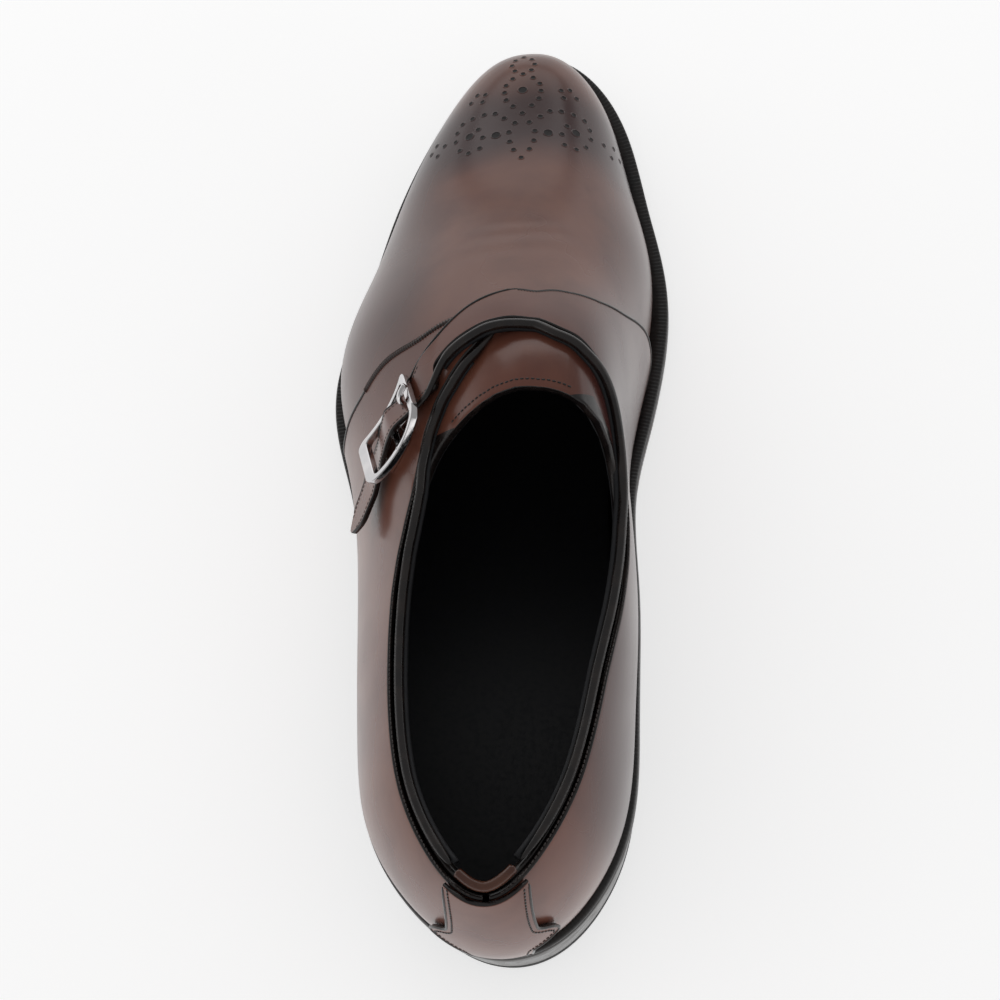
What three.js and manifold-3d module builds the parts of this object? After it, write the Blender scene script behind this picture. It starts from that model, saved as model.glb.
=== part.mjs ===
// Monk strap shoe for a left foot, empty and standing on its sole.
// Millimetres. +Z up, +Y to the toe, +X to the inner (medial) side of the foot.
// The origin is on the floor under the middle of the heel seat.
import * as THREE from 'three';
import { mergeVertices } from 'three/addons/utils/BufferGeometryUtils.js';
import Module from 'manifold-3d';

const wasm = await Module();
wasm.setup();

// Sizes of the last
const LAST_LENGTH = 286.6;
const HEEL_BACK = -31.6;
const BALL_WIDTH = 95;
const INSTEP_TOP = 102;
const HEEL_HEIGHT = 25;
const TOE_SPRING = 11;
const HEEL_LEAN = 10;
const HEEL_LEAN_FROM = 20;
const FEATHER_TUCK = 0.05;
const TUCK_HEIGHT = 15;
const SEAT_END = 0.14;
const BALL_START = 0.645;
const BALL_END = 0.7;

// Thicknesses and gaps
const GAP = 0.3;
const FIT = 0.5;
const OUTSOLE = 5;
const WELT = 2.8;
const WALL = 2.2;
const QUARTER = 1.3;
const INSOLE = 2.4;
const TOP_LIFT = 6.5;
const PIPING = 1.3;
const HEEL_STRIP = 1.1;
const FOOT = 0.9;
const STRIP_FOOT = 1.7;
const RIM_CLEAR = 1.0;
const STRAP = 1.4;
const TAB_HALF = 5;

// Sizes of the buckle
const BUCKLE_LENGTH = 27;
const BUCKLE_WIDTH = 19.5;
const BUCKLE_CORNER = 3.2;
const BUCKLE_SWELL = 0.6;
const END_BAR = 3;
const SIDE_BAR = 1.6;
const BAR_THICK = 2;
const CENTRE_BAR = 1.1;
const PRONG = 0.8;
const PRONG_HOLE = 1.7;

// Sections of the last. along: share of length. axis: x of the middle line. medial, lateral: half
// widths as shares of ball width. ridge: height as a share of the instep. fullM, fullL: roundness.
const SECTIONS = [
  { along: 0.00, axis: 1.0, medial: 0.000, lateral: 0.000, ridge: 0.960, fullM: 2.2, fullL: 2.2 },
  { along: 0.05, axis: 1.0, medial: 0.242, lateral: 0.263, ridge: 0.960, fullM: 2.2, fullL: 2.0 },
  { along: 0.12, axis: 1.5, medial: 0.332, lateral: 0.384, ridge: 0.970, fullM: 2.3, fullL: 1.8 },
  { along: 0.22, axis: 3.0, medial: 0.347, lateral: 0.437, ridge: 0.980, fullM: 2.5, fullL: 1.6 },
  { along: 0.36, axis: 8.0, medial: 0.305, lateral: 0.521, ridge: 1.000, fullM: 4.5, fullL: 1.45 },
  { along: 0.50, axis: 11.5, medial: 0.258, lateral: 0.611, ridge: 0.990, fullM: 4.2, fullL: 1.6 },
  { along: 0.62, axis: 11.5, medial: 0.332, lateral: 0.668, ridge: 0.804, fullM: 2.6, fullL: 2.0 },
  { along: 0.72, axis: 9.8, medial: 0.389, lateral: 0.563, ridge: 0.647, fullM: 2.4, fullL: 2.1 },
  { along: 0.82, axis: 9.0, medial: 0.347, lateral: 0.452, ridge: 0.539, fullM: 2.3, fullL: 2.2 },
  { along: 0.91, axis: 9.0, medial: 0.284, lateral: 0.321, ridge: 0.475, fullM: 2.3, fullL: 2.3 },
  { along: 0.97, axis: 9.6, medial: 0.181, lateral: 0.194, ridge: 0.407, fullM: 2.3, fullL: 2.3 },
  { along: 1.00, axis: 10.0, medial: 0.000, lateral: 0.000, ridge: 0.000, fullM: 2.3, fullL: 2.3 },
];

// How far the welt stands out beyond the feather line.
const MARGIN = [
  { along: 0.00, out: 4.6 },
  { along: 0.15, out: 4.6 },
  { along: 0.30, out: 4.0 },
  { along: 0.45, out: 4.6 },
  { along: 0.60, out: 6.4 },
  { along: 0.85, out: 6.5 },
  { along: 1.00, out: 6.2 },
];

// Lines on the last. turn: place round the feather line, 0 heel, 0.25 lateral, 0.5 toe, 0.75 medial.
// rise: elevation in degrees seen from the middle of the collar at feather height.

// Free edge of the tongue, which is the top of the wall at the instep.
const TONGUE_EDGE = [
  { turn: 0.200, rise: 60.0 }, { turn: 0.210, rise: 66.0 }, { turn: 0.226, rise: 74.1 },
  { turn: 0.236, rise: 78.7 }, { turn: 0.246, rise: 81.2 }, { turn: 0.258, rise: 82.9 },
  { turn: 0.275, rise: 84.0 }, { turn: 0.301, rise: 84.9 }, { turn: 0.360, rise: 85.4 },
  { turn: 0.430, rise: 85.2 }, { turn: 0.500, rise: 85.0 }, { turn: 0.570, rise: 85.0 },
  { turn: 0.640, rise: 85.2 }, { turn: 0.690, rise: 84.9 }, { turn: 0.717, rise: 84.5 },
  { turn: 0.738, rise: 83.7 }, { turn: 0.750, rise: 82.2 }, { turn: 0.757, rise: 80.5 },
  { turn: 0.762, rise: 78.5 }, { turn: 0.766, rise: 76.3 }, { turn: 0.772, rise: 71.8 },
  { turn: 0.790, rise: 59.4 },
];

// Collar edge of the lateral quarter, heel to the corner under the strap.
const LATERAL_EDGE = [
  { turn: 0.000, rise: 26.4 }, { turn: 0.030, rise: 26.9 }, { turn: 0.070, rise: 28.3 },
  { turn: 0.110, rise: 31.5 }, { turn: 0.143, rise: 35.6 }, { turn: 0.164, rise: 40.6 },
  { turn: 0.180, rise: 47.8 }, { turn: 0.193, rise: 56.0 }, { turn: 0.207, rise: 64.4 },
  { turn: 0.219, rise: 69.2 }, { turn: 0.234, rise: 72.8 }, { turn: 0.256, rise: 75.6 },
  { turn: 0.290, rise: 76.8 }, { turn: 0.340, rise: 76.0 }, { turn: 0.425, rise: 71.4 },
];

// Collar edge of the medial quarter, round the instep as the strap's rear edge, and so to the heel.
const MEDIAL_EDGE = [
  { turn: 0.290, rise: 73.0 }, { turn: 0.345, rise: 73.3 }, { turn: 0.410, rise: 72.3 },
  { turn: 0.500, rise: 71.0 }, { turn: 0.615, rise: 72.2 }, { turn: 0.695, rise: 74.0 },
  { turn: 0.738, rise: 73.6 }, { turn: 0.757, rise: 71.0 }, { turn: 0.770, rise: 68.0 },
  { turn: 0.787, rise: 60.8 }, { turn: 0.811, rise: 50.1 }, { turn: 0.832, rise: 42.9 },
  { turn: 0.857, rise: 37.6 }, { turn: 0.900, rise: 32.3 }, { turn: 0.959, rise: 27.8 },
  { turn: 1.000, rise: 26.4 },
];

// Stations of the medial quarter and its strap, from the heel round the instep to the buckle.
// front: place on the lower or toe edge. back: turn on the collar edge. off: height over the wall.
const STRAP_STATIONS = [
  { frontTurn: 0.998, frontRise: 0, backTurn: 0.998, off: 0.65 },
  { frontTurn: 0.980, frontRise: 0, backTurn: 0.980, off: 0.65 },
  { frontTurn: 0.955, frontRise: 0, backTurn: 0.955, off: 0.65 },
  { frontTurn: 0.905, frontRise: 0, backTurn: 0.905, off: 0.65 },
  { frontTurn: 0.855, frontRise: 0, backTurn: 0.857, off: 0.65 },
  { frontTurn: 0.805, frontRise: 0, backTurn: 0.820, off: 0.65 },
  { frontTurn: 0.760, frontRise: 0, backTurn: 0.800, off: 0.65 },
  { frontTurn: 0.720, frontRise: 0, backTurn: 0.784, off: 0.65 },
  { frontTurn: 0.710, frontRise: 22, backTurn: 0.770, off: 0.65 },
  { frontTurn: 0.707, frontRise: 46, backTurn: 0.757, off: 0.65 },
  { frontTurn: 0.690, frontRise: 57.5, backTurn: 0.738, off: 0.65 },
  { frontTurn: 0.650, frontRise: 60.7, backTurn: 0.695, off: 0.65 },
  { frontTurn: 0.590, frontRise: 60.3, backTurn: 0.615, off: 0.65 },
  { frontTurn: 0.510, frontRise: 59.2, backTurn: 0.500, off: 1.7 },
  { frontTurn: 0.435, frontRise: 61.6, backTurn: 0.410, off: 2.6 },
  { frontTurn: 0.370, frontRise: 64.6, backTurn: 0.345, off: 2.9 },
  { frontTurn: 0.325, frontRise: 66.6, backTurn: 0.300, off: 2.9 },
];

// Stations of the lateral quarter, from the heel to the corner under the strap.
const LATERAL_STATIONS = [
  { frontTurn: 0.002, frontRise: 0, backTurn: 0.002, off: 0.8 },
  { frontTurn: 0.020, frontRise: 0, backTurn: 0.020, off: 0.8 },
  { frontTurn: 0.045, frontRise: 0, backTurn: 0.045, off: 0.8 },
  { frontTurn: 0.070, frontRise: 0, backTurn: 0.070, off: 0.8 },
  { frontTurn: 0.095, frontRise: 0, backTurn: 0.095, off: 0.8 },
  { frontTurn: 0.145, frontRise: 0, backTurn: 0.143, off: 0.8 },
  { frontTurn: 0.190, frontRise: 0, backTurn: 0.180, off: 0.8 },
  { frontTurn: 0.230, frontRise: 0, backTurn: 0.200, off: 0.8 },
  { frontTurn: 0.256, frontRise: 6, backTurn: 0.214, off: 0.8 },
  { frontTurn: 0.261, frontRise: 22, backTurn: 0.228, off: 0.8 },
  { frontTurn: 0.270, frontRise: 40, backTurn: 0.245, off: 0.8 },
  { frontTurn: 0.287, frontRise: 51, backTurn: 0.270, off: 0.8 },
  { frontTurn: 0.312, frontRise: 60.6, backTurn: 0.310, off: 0.8 },
  { frontTurn: 0.360, frontRise: 64.2, backTurn: 0.370, off: 0.8 },
  { frontTurn: 0.420, frontRise: 66.0, backTurn: 0.425, off: 0.8 },
];

// The strap's middle line from the instep under the buckle to its free tip.
// off: height of its underside over the base wall. half: half width. twist: degrees about the line.
const STRAP_TAIL = [
  { turn: 0.285, rise: 70.6, off: 2.9, half: 6.4, twist: 0 },
  { turn: 0.270, rise: 69.6, off: 2.9, half: 5.4, twist: 7 },
  { turn: 0.258, rise: 68.0, off: 3.9, half: 5.2, twist: 11 },
  { turn: 0.247, rise: 65.5, off: 6.6, half: 5.2, twist: 9 },
  { turn: 0.239, rise: 60.3, off: 5.2, half: 5.2, twist: 9 },
  { turn: 0.234, rise: 54.5, off: 3.9, half: 5.2, twist: 6 },
  { turn: 0.2285, rise: 48.5, off: 3.8, half: 5.7, twist: 3 },
  { turn: 0.221, rise: 41.8, off: 4.8, half: 5.8, twist: 2 },
  { turn: 0.214, rise: 34.5, off: 6.3, half: 3.2, twist: 0 },
];

// Turns along the two collar edges where the pipings pass. off: height of the middle over the wall.
const MEDIAL_PIPING = [
  { turn: 0.972, off: -0.2 }, { turn: 0.890, off: -0.2 }, { turn: 0.840, off: -0.2 },
  { turn: 0.811, off: -0.1 }, { turn: 0.797, off: 0.2 }, { turn: 0.784, off: 1.1 },
  { turn: 0.770, off: 1.8 }, { turn: 0.757, off: 2.0 }, { turn: 0.738, off: 1.9 },
  { turn: 0.695, off: 1.8 }, { turn: 0.615, off: 1.9 }, { turn: 0.500, off: 2.7 },
  { turn: 0.410, off: 3.9 }, { turn: 0.345, off: 4.1 }, { turn: 0.300, off: 4.1 },
];
const LATERAL_PIPING = [
  { turn: 0.028, off: -0.2 }, { turn: 0.080, off: -0.2 }, { turn: 0.130, off: -0.2 },
  { turn: 0.164, off: -0.2 }, { turn: 0.182, off: 0.0 }, { turn: 0.195, off: 0.2 },
  { turn: 0.207, off: 0.8 }, { turn: 0.219, off: 1.7 }, { turn: 0.234, off: 1.7 },
  { turn: 0.260, off: 1.7 }, { turn: 0.290, off: 1.7 }, { turn: 0.330, off: 1.7 },
];
const HEEL_ROLL = [
  { turn: -0.023, off: -0.2 },
  { turn: 0.000, off: -0.2 },
  { turn: 0.023, off: -0.2 },
];

// The heel strip: half widths in turns at heights that are shares of its length.
const HEEL_STRIP_SHAPE = [
  { up: 0.00, half: 0.020 }, { up: 0.30, half: 0.024 }, { up: 0.42, half: 0.043 },
  { up: 0.48, half: 0.040 }, { up: 0.60, half: 0.029 }, { up: 1.00, half: 0.025 },
];

// Colours
const CALF = { color: 0x4a332b, roughness: 0.35, metalness: 0 };
const EDGE = { color: 0x15110f, roughness: 0.4, metalness: 0 };
const LINING = { color: 0x5b3a2a, roughness: 0.7, metalness: 0 };
const STEEL = { color: 0xc9c9cc, roughness: 0.15, metalness: 1 };
const RUBBER = { color: 0x1b1917, roughness: 0.8, metalness: 0 };

// Small mathematics
const clamp = (x, low, high) => Math.min(high, Math.max(low, x));
const radians = (degrees) => degrees * Math.PI / 180;
const turnAngle = (along) => Math.acos(1 - 2 * clamp(along, 0, 1));
const smootherStep = (x) => {
  const c = clamp(x, 0, 1);
  return c * c * c * (c * (6 * c - 15) + 10);
};

// Cubic pieces through points, from the slopes at the points.
function hermite(xs, ys, slopes) {
  return (x) => {
    let k = 0;
    while (k < xs.length - 2 && x > xs[k + 1]) k += 1;
    const width = xs[k + 1] - xs[k];
    const s = (x - xs[k]) / width;
    const a = (1 + 2 * s) * (1 - s) * (1 - s) * ys[k] + s * (1 - s) * (1 - s) * width * slopes[k];
    return a + s * s * (3 - 2 * s) * ys[k + 1] + s * s * (s - 1) * width * slopes[k + 1];
  };
}

// Natural cubic spline.
function spline(xs, ys) {
  const n = xs.length;
  const bend = new Array(n).fill(0);
  const c = new Array(n).fill(0);
  for (let i = 1; i < n - 1; i += 1) {
    const before = xs[i] - xs[i - 1];
    const after = xs[i + 1] - xs[i];
    const pivot = 2 * (before + after) - before * c[i - 1];
    c[i] = after / pivot;
    const right = 6 * ((ys[i + 1] - ys[i]) / after - (ys[i] - ys[i - 1]) / before);
    bend[i] = (right - before * bend[i - 1]) / pivot;
  }
  for (let i = n - 2; i > 0; i -= 1) bend[i] -= c[i] * bend[i + 1];
  const slopes = ys.map((y, i) => {
    const k = Math.min(i, n - 2);
    const width = xs[k + 1] - xs[k];
    const start = (ys[k + 1] - ys[k]) / width - width * (2 * bend[k] + bend[k + 1]) / 6;
    return i < n - 1 ? start : start + width * (bend[k] + bend[k + 1]) / 2;
  });
  return hermite(xs, ys, slopes);
}

// Cubic curve that never overshoots its points.
function steadyCurve(xs, ys) {
  const rate = xs.slice(1).map((x, i) => (ys[i + 1] - ys[i]) / (x - xs[i]));
  const slopes = ys.map((y, i) => {
    if (i === 0) return rate[0];
    if (i === xs.length - 1) return rate[i - 1];
    return rate[i - 1] * rate[i] > 0 ? 2 * rate[i - 1] * rate[i] / (rate[i - 1] + rate[i]) : 0;
  });
  return hermite(xs, ys, slopes);
}

const column = (table, key) => table.map((row) => row[key]);
const byTurn = (key) => spline(SECTIONS.map((row) => turnAngle(row.along)), column(SECTIONS, key));
const byShare = (key) => spline(column(SECTIONS, 'along'), column(SECTIONS, key));

// The last
const medialShare = byTurn('medial');
const lateralShare = byTurn('lateral');
const axisAt = byShare('axis');
const fullMedial = byShare('fullM');
const fullLateral = byShare('fullL');
const marginAt = steadyCurve(column(MARGIN, 'along'), column(MARGIN, 'out'));

const shareOf = (y) => (y - HEEL_BACK) / LAST_LENGTH;

// Height of the sole's underside, heel seat to toe, over the floor.
function ground(along) {
  const seat = 1 - smootherStep((along - SEAT_END) / (BALL_START - SEAT_END));
  const toe = Math.max(0, (along - BALL_END) / (1 - BALL_END)) ** 1.8;
  return HEEL_HEIGHT * seat + TOE_SPRING * toe;
}

const weltTop = (along) => ground(along) + OUTSOLE + GAP + WELT;
const feather = (along) => weltTop(along) + GAP;

const heightAt = spline(
  SECTIONS.map((row) => turnAngle(row.along)),
  SECTIONS.map((row) => (row.ridge > 0 ? row.ridge * INSTEP_TOP - feather(row.along) : 0)),
);

// How far the back of the heel leans forward at a height over the feather line.
function heelInset(up) {
  const low = clamp(1 - up / HEEL_LEAN_FROM, 0, 1);
  const high = clamp((up - HEEL_LEAN_FROM) / 42, 0, 2);
  return 3 * low * low + HEEL_LEAN * high ** 1.7;
}

const heelShift = (along) => clamp(1 - along / 0.34, 0, 1) ** 2;

function insideLast(x, y, z) {
  const along = shareOf(y);
  const up = z - feather(clamp(along, 0, 1));
  const eased = along - heelInset(up) / LAST_LENGTH * heelShift(along);
  if (eased <= 0 || along >= 1) return false;
  const tall = Math.max(heightAt(turnAngle(along)), 1e-6);
  if (up >= tall) return false;
  const side = x - axisAt(eased);
  const share = side > 0 ? medialShare(turnAngle(eased)) : lateralShare(turnAngle(eased));
  const full = side > 0 ? fullMedial(eased) : fullLateral(eased);
  const level = clamp(up / tall, 0, 1);
  const tuck = 1 - FEATHER_TUCK * clamp(1 - up / TUCK_HEIGHT, 0, 1) ** 2;
  return Math.abs(side) < share * BALL_WIDTH * (1 - level ** full) ** (1 / full) * tuck;
}

// The feather line in plan, with its share of length.
function featherPoint(turn) {
  const u = turn - Math.floor(turn);
  const lateral = u <= 0.5;
  const angle = 2 * Math.PI * (lateral ? u : 1 - u);
  const eased = (1 - Math.cos(angle)) / 2;
  let along = eased;
  for (let i = 0; i < 12; i += 1) along = eased + heelInset(0) / LAST_LENGTH * heelShift(along);
  const share = lateral ? -lateralShare(angle) : medialShare(angle);
  const x = axisAt(eased) + share * BALL_WIDTH * (1 - FEATHER_TUCK);
  return { x, y: HEEL_BACK + along * LAST_LENGTH, along };
}

// Rays from the upright line through the middle of the collar find the last's skin.
const CENTRE_X = 8;
const CENTRE_Y = HEEL_BACK + 0.44 * LAST_LENGTH;

function cast(turn, rise) {
  const edge = featherPoint(turn);
  const length = Math.hypot(edge.x - CENTRE_X, edge.y - CENTRE_Y);
  const dx = (edge.x - CENTRE_X) / length * Math.cos(rise);
  const dy = (edge.y - CENTRE_Y) / length * Math.cos(rise);
  const dz = Math.sin(rise);
  const z0 = feather(clamp(edge.along, 0, 1));
  let low = 0;
  let high = 260;
  for (let i = 0; i < 34; i += 1) {
    const middle = (low + high) / 2;
    const hit = insideLast(CENTRE_X + dx * middle, CENTRE_Y + dy * middle, z0 + dz * middle);
    if (hit) low = middle;
    else high = middle;
  }
  return new THREE.Vector3(CENTRE_X + dx * low, CENTRE_Y + dy * low, z0 + dz * low);
}

function normalAt(turn, rise) {
  const du = 0.003;
  const db = 0.008;
  const across = cast(turn + du, rise).sub(cast(turn - du, rise));
  const upward = cast(turn, rise + db).sub(cast(turn, rise - db));
  return upward.cross(across).normalize();
}

function offsetPoint(turn, rise, off) {
  return cast(turn, rise).addScaledVector(normalAt(turn, rise), off);
}

// Arc length up one column of the last, and back from length to rise.
const RISE_STEPS = 60;
const RISE_LIMIT = radians(87);
const columns = new Map();

function columnAt(turn) {
  const key = Math.round(turn * 1e6);
  if (!columns.has(key)) {
    const rises = [];
    const lengths = [0];
    let last = null;
    for (let i = 0; i <= RISE_STEPS; i += 1) {
      rises.push(RISE_LIMIT * i / RISE_STEPS);
      const point = cast(turn, rises[i]);
      if (last) lengths.push(lengths[i - 1] + point.distanceTo(last));
      last = point;
    }
    columns.set(key, { rises, lengths });
  }
  return columns.get(key);
}

function lookUp(xs, ys, x) {
  let k = 0;
  while (k < xs.length - 2 && x > xs[k + 1]) k += 1;
  return ys[k] + (ys[k + 1] - ys[k]) * (x - xs[k]) / (xs[k + 1] - xs[k]);
}

function lengthAt(turn, rise) {
  const { rises, lengths } = columnAt(turn);
  return lookUp(rises, lengths, rise);
}

function riseAt(turn, length) {
  const { rises, lengths } = columnAt(turn);
  return lookUp(lengths, rises, length);
}

// Closed meshes
function solid(points, faces) {
  let volume = 0;
  for (const [a, b, c] of faces) {
    volume += points[a].dot(points[b].clone().cross(points[c])) / 6;
  }
  const geometry = new THREE.BufferGeometry();
  const turned = volume < 0 ? faces.map(([a, b, c]) => [a, c, b]) : faces;
  geometry.setAttribute('position', new THREE.Float32BufferAttribute(
    points.flatMap((p) => [p.x, p.y, p.z]), 3));
  geometry.setIndex(turned.flat());
  geometry.computeVertexNormals();
  return geometry;
}

const quad = (a, b, c, d) => [[a, b, c], [a, c, d]];

// A wall between two grids [station][row] whose borders are joined. Closed: the stations go round.
function shell(outer, inner, closed) {
  const points = [...outer.flat(), ...inner.flat()];
  const rowsOut = outer[0].length;
  const rowsIn = inner[0].length;
  const start = outer.length * rowsOut;
  const out = (i, j) => (i % outer.length) * rowsOut + j;
  const inn = (i, j) => start + (i % inner.length) * rowsIn + j;
  const faces = [];
  const spans = closed ? outer.length : outer.length - 1;
  for (let i = 0; i < spans; i += 1) {
    for (let j = 0; j < rowsOut - 1; j += 1) {
      faces.push(...quad(out(i, j), out(i + 1, j), out(i + 1, j + 1), out(i, j + 1)));
    }
    for (let j = 0; j < rowsIn - 1; j += 1) {
      faces.push(...quad(inn(i, j), inn(i, j + 1), inn(i + 1, j + 1), inn(i + 1, j)));
    }
    faces.push(...quad(out(i, 0), inn(i, 0), inn(i + 1, 0), out(i + 1, 0)));
    const top = rowsOut - 1;
    const under = rowsIn - 1;
    faces.push(...quad(out(i, top), out(i + 1, top), inn(i + 1, under), inn(i, under)));
  }
  if (!closed) {
    const end = outer.length - 1;
    for (let j = 0; j < rowsOut - 1; j += 1) {
      faces.push(...quad(out(0, j), out(0, j + 1), inn(0, j + 1), inn(0, j)));
      faces.push(...quad(out(end, j), inn(end, j), inn(end, j + 1), out(end, j + 1)));
    }
  }
  return solid(points, faces);
}

// Rings of points, one over another, joined by bands. Caps: the first and last ring are covered
// by strips between each point and its partner on the other side.
function rings(list, capped) {
  const count = list[0].length;
  const points = list.flat();
  const faces = [];
  const levels = capped ? list.length - 1 : list.length;
  for (let r = 0; r < levels; r += 1) {
    const low = r * count;
    const high = ((r + 1) % list.length) * count;
    for (let k = 0; k < count; k += 1) {
      const next = (k + 1) % count;
      faces.push(...quad(low + k, low + next, high + next, high + k));
    }
  }
  if (capped) {
    for (const [base, flip] of [[0, true], [(list.length - 1) * count, false]]) {
      for (const face of capFaces(count)) {
        const [a, b, c] = face.map((k) => base + k);
        faces.push(flip ? [a, c, b] : [a, b, c]);
      }
    }
  }
  return solid(points, faces);
}

function capFaces(count) {
  const faces = [];
  const half = count / 2;
  for (let k = 0; k < half; k += 1) {
    const left = k;
    const right = (count - k) % count;
    if (k === 0) faces.push([0, 1, count - 1]);
    else if (k === half - 1) faces.push([left, half, right]);
    else faces.push(...quad(left, left + 1, right - 1, right));
  }
  return faces;
}

// A round or oval bar along a line of frames { at, side, normal }.
function bar(frames, sides, wide, thick, closed) {
  const loops = frames.map((frame) => {
    const loop = [];
    for (let k = 0; k < sides; k += 1) {
      const angle = 2 * Math.PI * k / sides;
      loop.push(frame.at.clone()
        .addScaledVector(frame.side, wide * Math.cos(angle))
        .addScaledVector(frame.normal, thick * Math.sin(angle)));
    }
    return loop;
  });
  return rings(loops, !closed);
}

const meshOf = (name, geometry, look) => {
  const mesh = new THREE.Mesh(geometry, new THREE.MeshStandardMaterial(look));
  mesh.name = name;
  return mesh;
};

// Upper: one hollow wall, open at the collar and underneath.
const UPPER_STEPS = 66;
const OUTER_ROWS = 14;
const INNER_ROWS = 10;
const ROW_BIAS = 1.4;
const BUSY = [[0.19, 0.27], [0.735, 0.805]];

function upperTurns() {
  const turns = [];
  for (let k = 0; k < UPPER_STEPS; k += 1) {
    const turn = k / UPPER_STEPS;
    turns.push(turn);
    if (BUSY.some(([from, to]) => turn > from && turn < to)) turns.push(turn + 0.5 / UPPER_STEPS);
  }
  return turns;
}

const edgeCurve = (table) => steadyCurve(column(table, 'turn'), column(table, 'rise'));
const tongueEdge = edgeCurve(TONGUE_EDGE);
const lateralEdge = edgeCurve(LATERAL_EDGE);
const medialEdge = edgeCurve(MEDIAL_EDGE);

// The wall stops under the piping at the sides and at its own edge at the tongue.
function wallTop(turn) {
  const edge = turn < 0.5 ? lateralEdge(turn) : medialEdge(turn);
  const side = lengthAt(turn, radians(edge)) - PIPING - RIM_CLEAR;
  const share = smootherStep((turn - 0.2) / 0.03) * smootherStep((0.79 - turn) / 0.03);
  if (share === 0) return side;
  return side + (lengthAt(turn, radians(tongueEdge(turn))) - side) * share;
}

function wallColumn(turn, rows, bias, off) {
  const top = wallTop(turn);
  const points = [];
  for (let j = 0; j <= rows; j += 1) {
    const rise = riseAt(turn, top * (j / rows) ** bias);
    points.push(offsetPoint(turn, rise, off));
  }
  return points;
}

function makeUpper() {
  const turns = upperTurns();
  const outer = turns.map((turn) => wallColumn(turn, OUTER_ROWS, ROW_BIAS, 0));
  const inner = turns.map((turn) => wallColumn(turn, INNER_ROWS, ROW_BIAS, -WALL));
  return shell(outer, inner, true);
}

// Overlays on the wall between two edge lines.
function stationCurve(table, keys) {
  const places = table.map((row, i) => i);
  const curves = keys.map((key) => [key, steadyCurve(places, column(table, key))]);
  return (place) => Object.fromEntries(curves.map(([key, curve]) => [key, curve(place)]));
}

const STATION_KEYS = ['frontTurn', 'frontRise', 'backTurn', 'off'];

function patchColumn(station, edge, rows, off) {
  const { frontTurn, frontRise, backTurn } = station;
  const low = lengthAt(frontTurn, radians(frontRise)) + FOOT;
  const high = lengthAt(backTurn, radians(edge(backTurn))) - PIPING - RIM_CLEAR;
  const points = [];
  for (let j = 0; j <= rows; j += 1) {
    const part = j / rows;
    const turn = frontTurn + (backTurn - frontTurn) * part;
    const rise = riseAt(turn, low + (high - low) * part);
    points.push(offsetPoint(turn, rise, off));
  }
  return points;
}

function patch(table, edge, steps, rows, thick) {
  const at = stationCurve(table, STATION_KEYS);
  const outer = [];
  const inner = [];
  for (let i = 0; i <= steps; i += 1) {
    const station = at((table.length - 1) * i / steps);
    outer.push(patchColumn(station, edge, rows, station.off + thick));
    inner.push(patchColumn(station, edge, rows, station.off));
  }
  return { outer, inner };
}

// The strap past the instep follows its own middle line, straight across.
const tailAt = stationCurve(STRAP_TAIL, ['turn', 'rise', 'off', 'half', 'twist']);
const TAIL_END = STRAP_TAIL.length - 1;

function tailFrame(place, turned = 1) {
  const here = tailAt(clamp(place, 0, TAIL_END));
  const at = cast(here.turn, radians(here.rise));
  const normal = normalAt(here.turn, radians(here.rise));
  const step = 0.35;
  const ahead = tailAt(clamp(place + step, 0, TAIL_END));
  const behind = tailAt(clamp(place - step, 0, TAIL_END));
  const along = cast(ahead.turn, radians(ahead.rise)).sub(cast(behind.turn, radians(behind.rise)));
  along.addScaledVector(normal, -along.dot(normal)).normalize();
  normal.applyAxisAngle(along, radians(here.twist * turned));
  const side = normal.clone().cross(along);
  return { at, normal, along, side, off: here.off, half: here.half };
}

function tailColumn(place, rows, extra) {
  const frame = tailFrame(place);
  const points = [];
  for (let j = 0; j <= rows; j += 1) {
    const across = frame.half * (2 * j / rows - 1);
    points.push(frame.at.clone()
      .addScaledVector(frame.side, across)
      .addScaledVector(frame.normal, frame.off + extra));
  }
  return points;
}

function makeMedialQuarter() {
  const rows = 8;
  const { outer, inner } = patch(STRAP_STATIONS, medialEdge, 34, rows, STRAP);
  const steps = 18;
  for (let i = 0; i <= steps; i += 1) {
    const place = TAIL_END * i / steps;
    outer.push(tailColumn(place, rows, STRAP));
    inner.push(tailColumn(place, rows, 0));
  }
  return cutBy(shell(outer, inner, false), prongHole());
}

function makeLateralQuarter() {
  const { outer, inner } = patch(LATERAL_STATIONS, lateralEdge, 30, 8, QUARTER);
  return shell(outer, inner, false);
}

function makeHeelStrip() {
  const rows = 8;
  const steps = 6;
  const half = steadyCurve(column(HEEL_STRIP_SHAPE, 'up'), column(HEEL_STRIP_SHAPE, 'half'));
  const under = 2 * FIT + QUARTER + GAP;
  const top = lengthAt(0, radians(lateralEdge(0))) - PIPING - RIM_CLEAR;
  const grid = (off) => {
    const columnsOut = [];
    for (let i = 0; i <= steps; i += 1) {
      const points = [];
      for (let j = 0; j <= rows; j += 1) {
        const turn = half(j / rows) * (2 * i / steps - 1);
        const length = STRIP_FOOT + (top - STRIP_FOOT) * j / rows;
        points.push(offsetPoint(turn, riseAt(turn, length), off));
      }
      columnsOut.push(points);
    }
    return columnsOut;
  };
  return shell(grid(under + HEEL_STRIP), grid(under), false);
}

// Pipings along the collar
function pipingFrames(table, edge, steps) {
  const at = stationCurve(table, ['turn', 'off']);
  const end = table.length - 1;
  const place = (i) => {
    const here = at(clamp(end * i / steps, 0, end));
    const rise = radians(edge(here.turn));
    return { point: offsetPoint(here.turn, rise, here.off), normal: normalAt(here.turn, rise) };
  };
  const frames = [];
  for (let i = 0; i <= steps; i += 1) {
    const here = place(i);
    const along = place(i + 0.5).point.sub(place(i - 0.5).point).normalize();
    const side = here.normal.clone().cross(along).normalize();
    frames.push({ at: here.point, side, normal: along.clone().cross(side) });
  }
  return frames;
}

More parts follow.
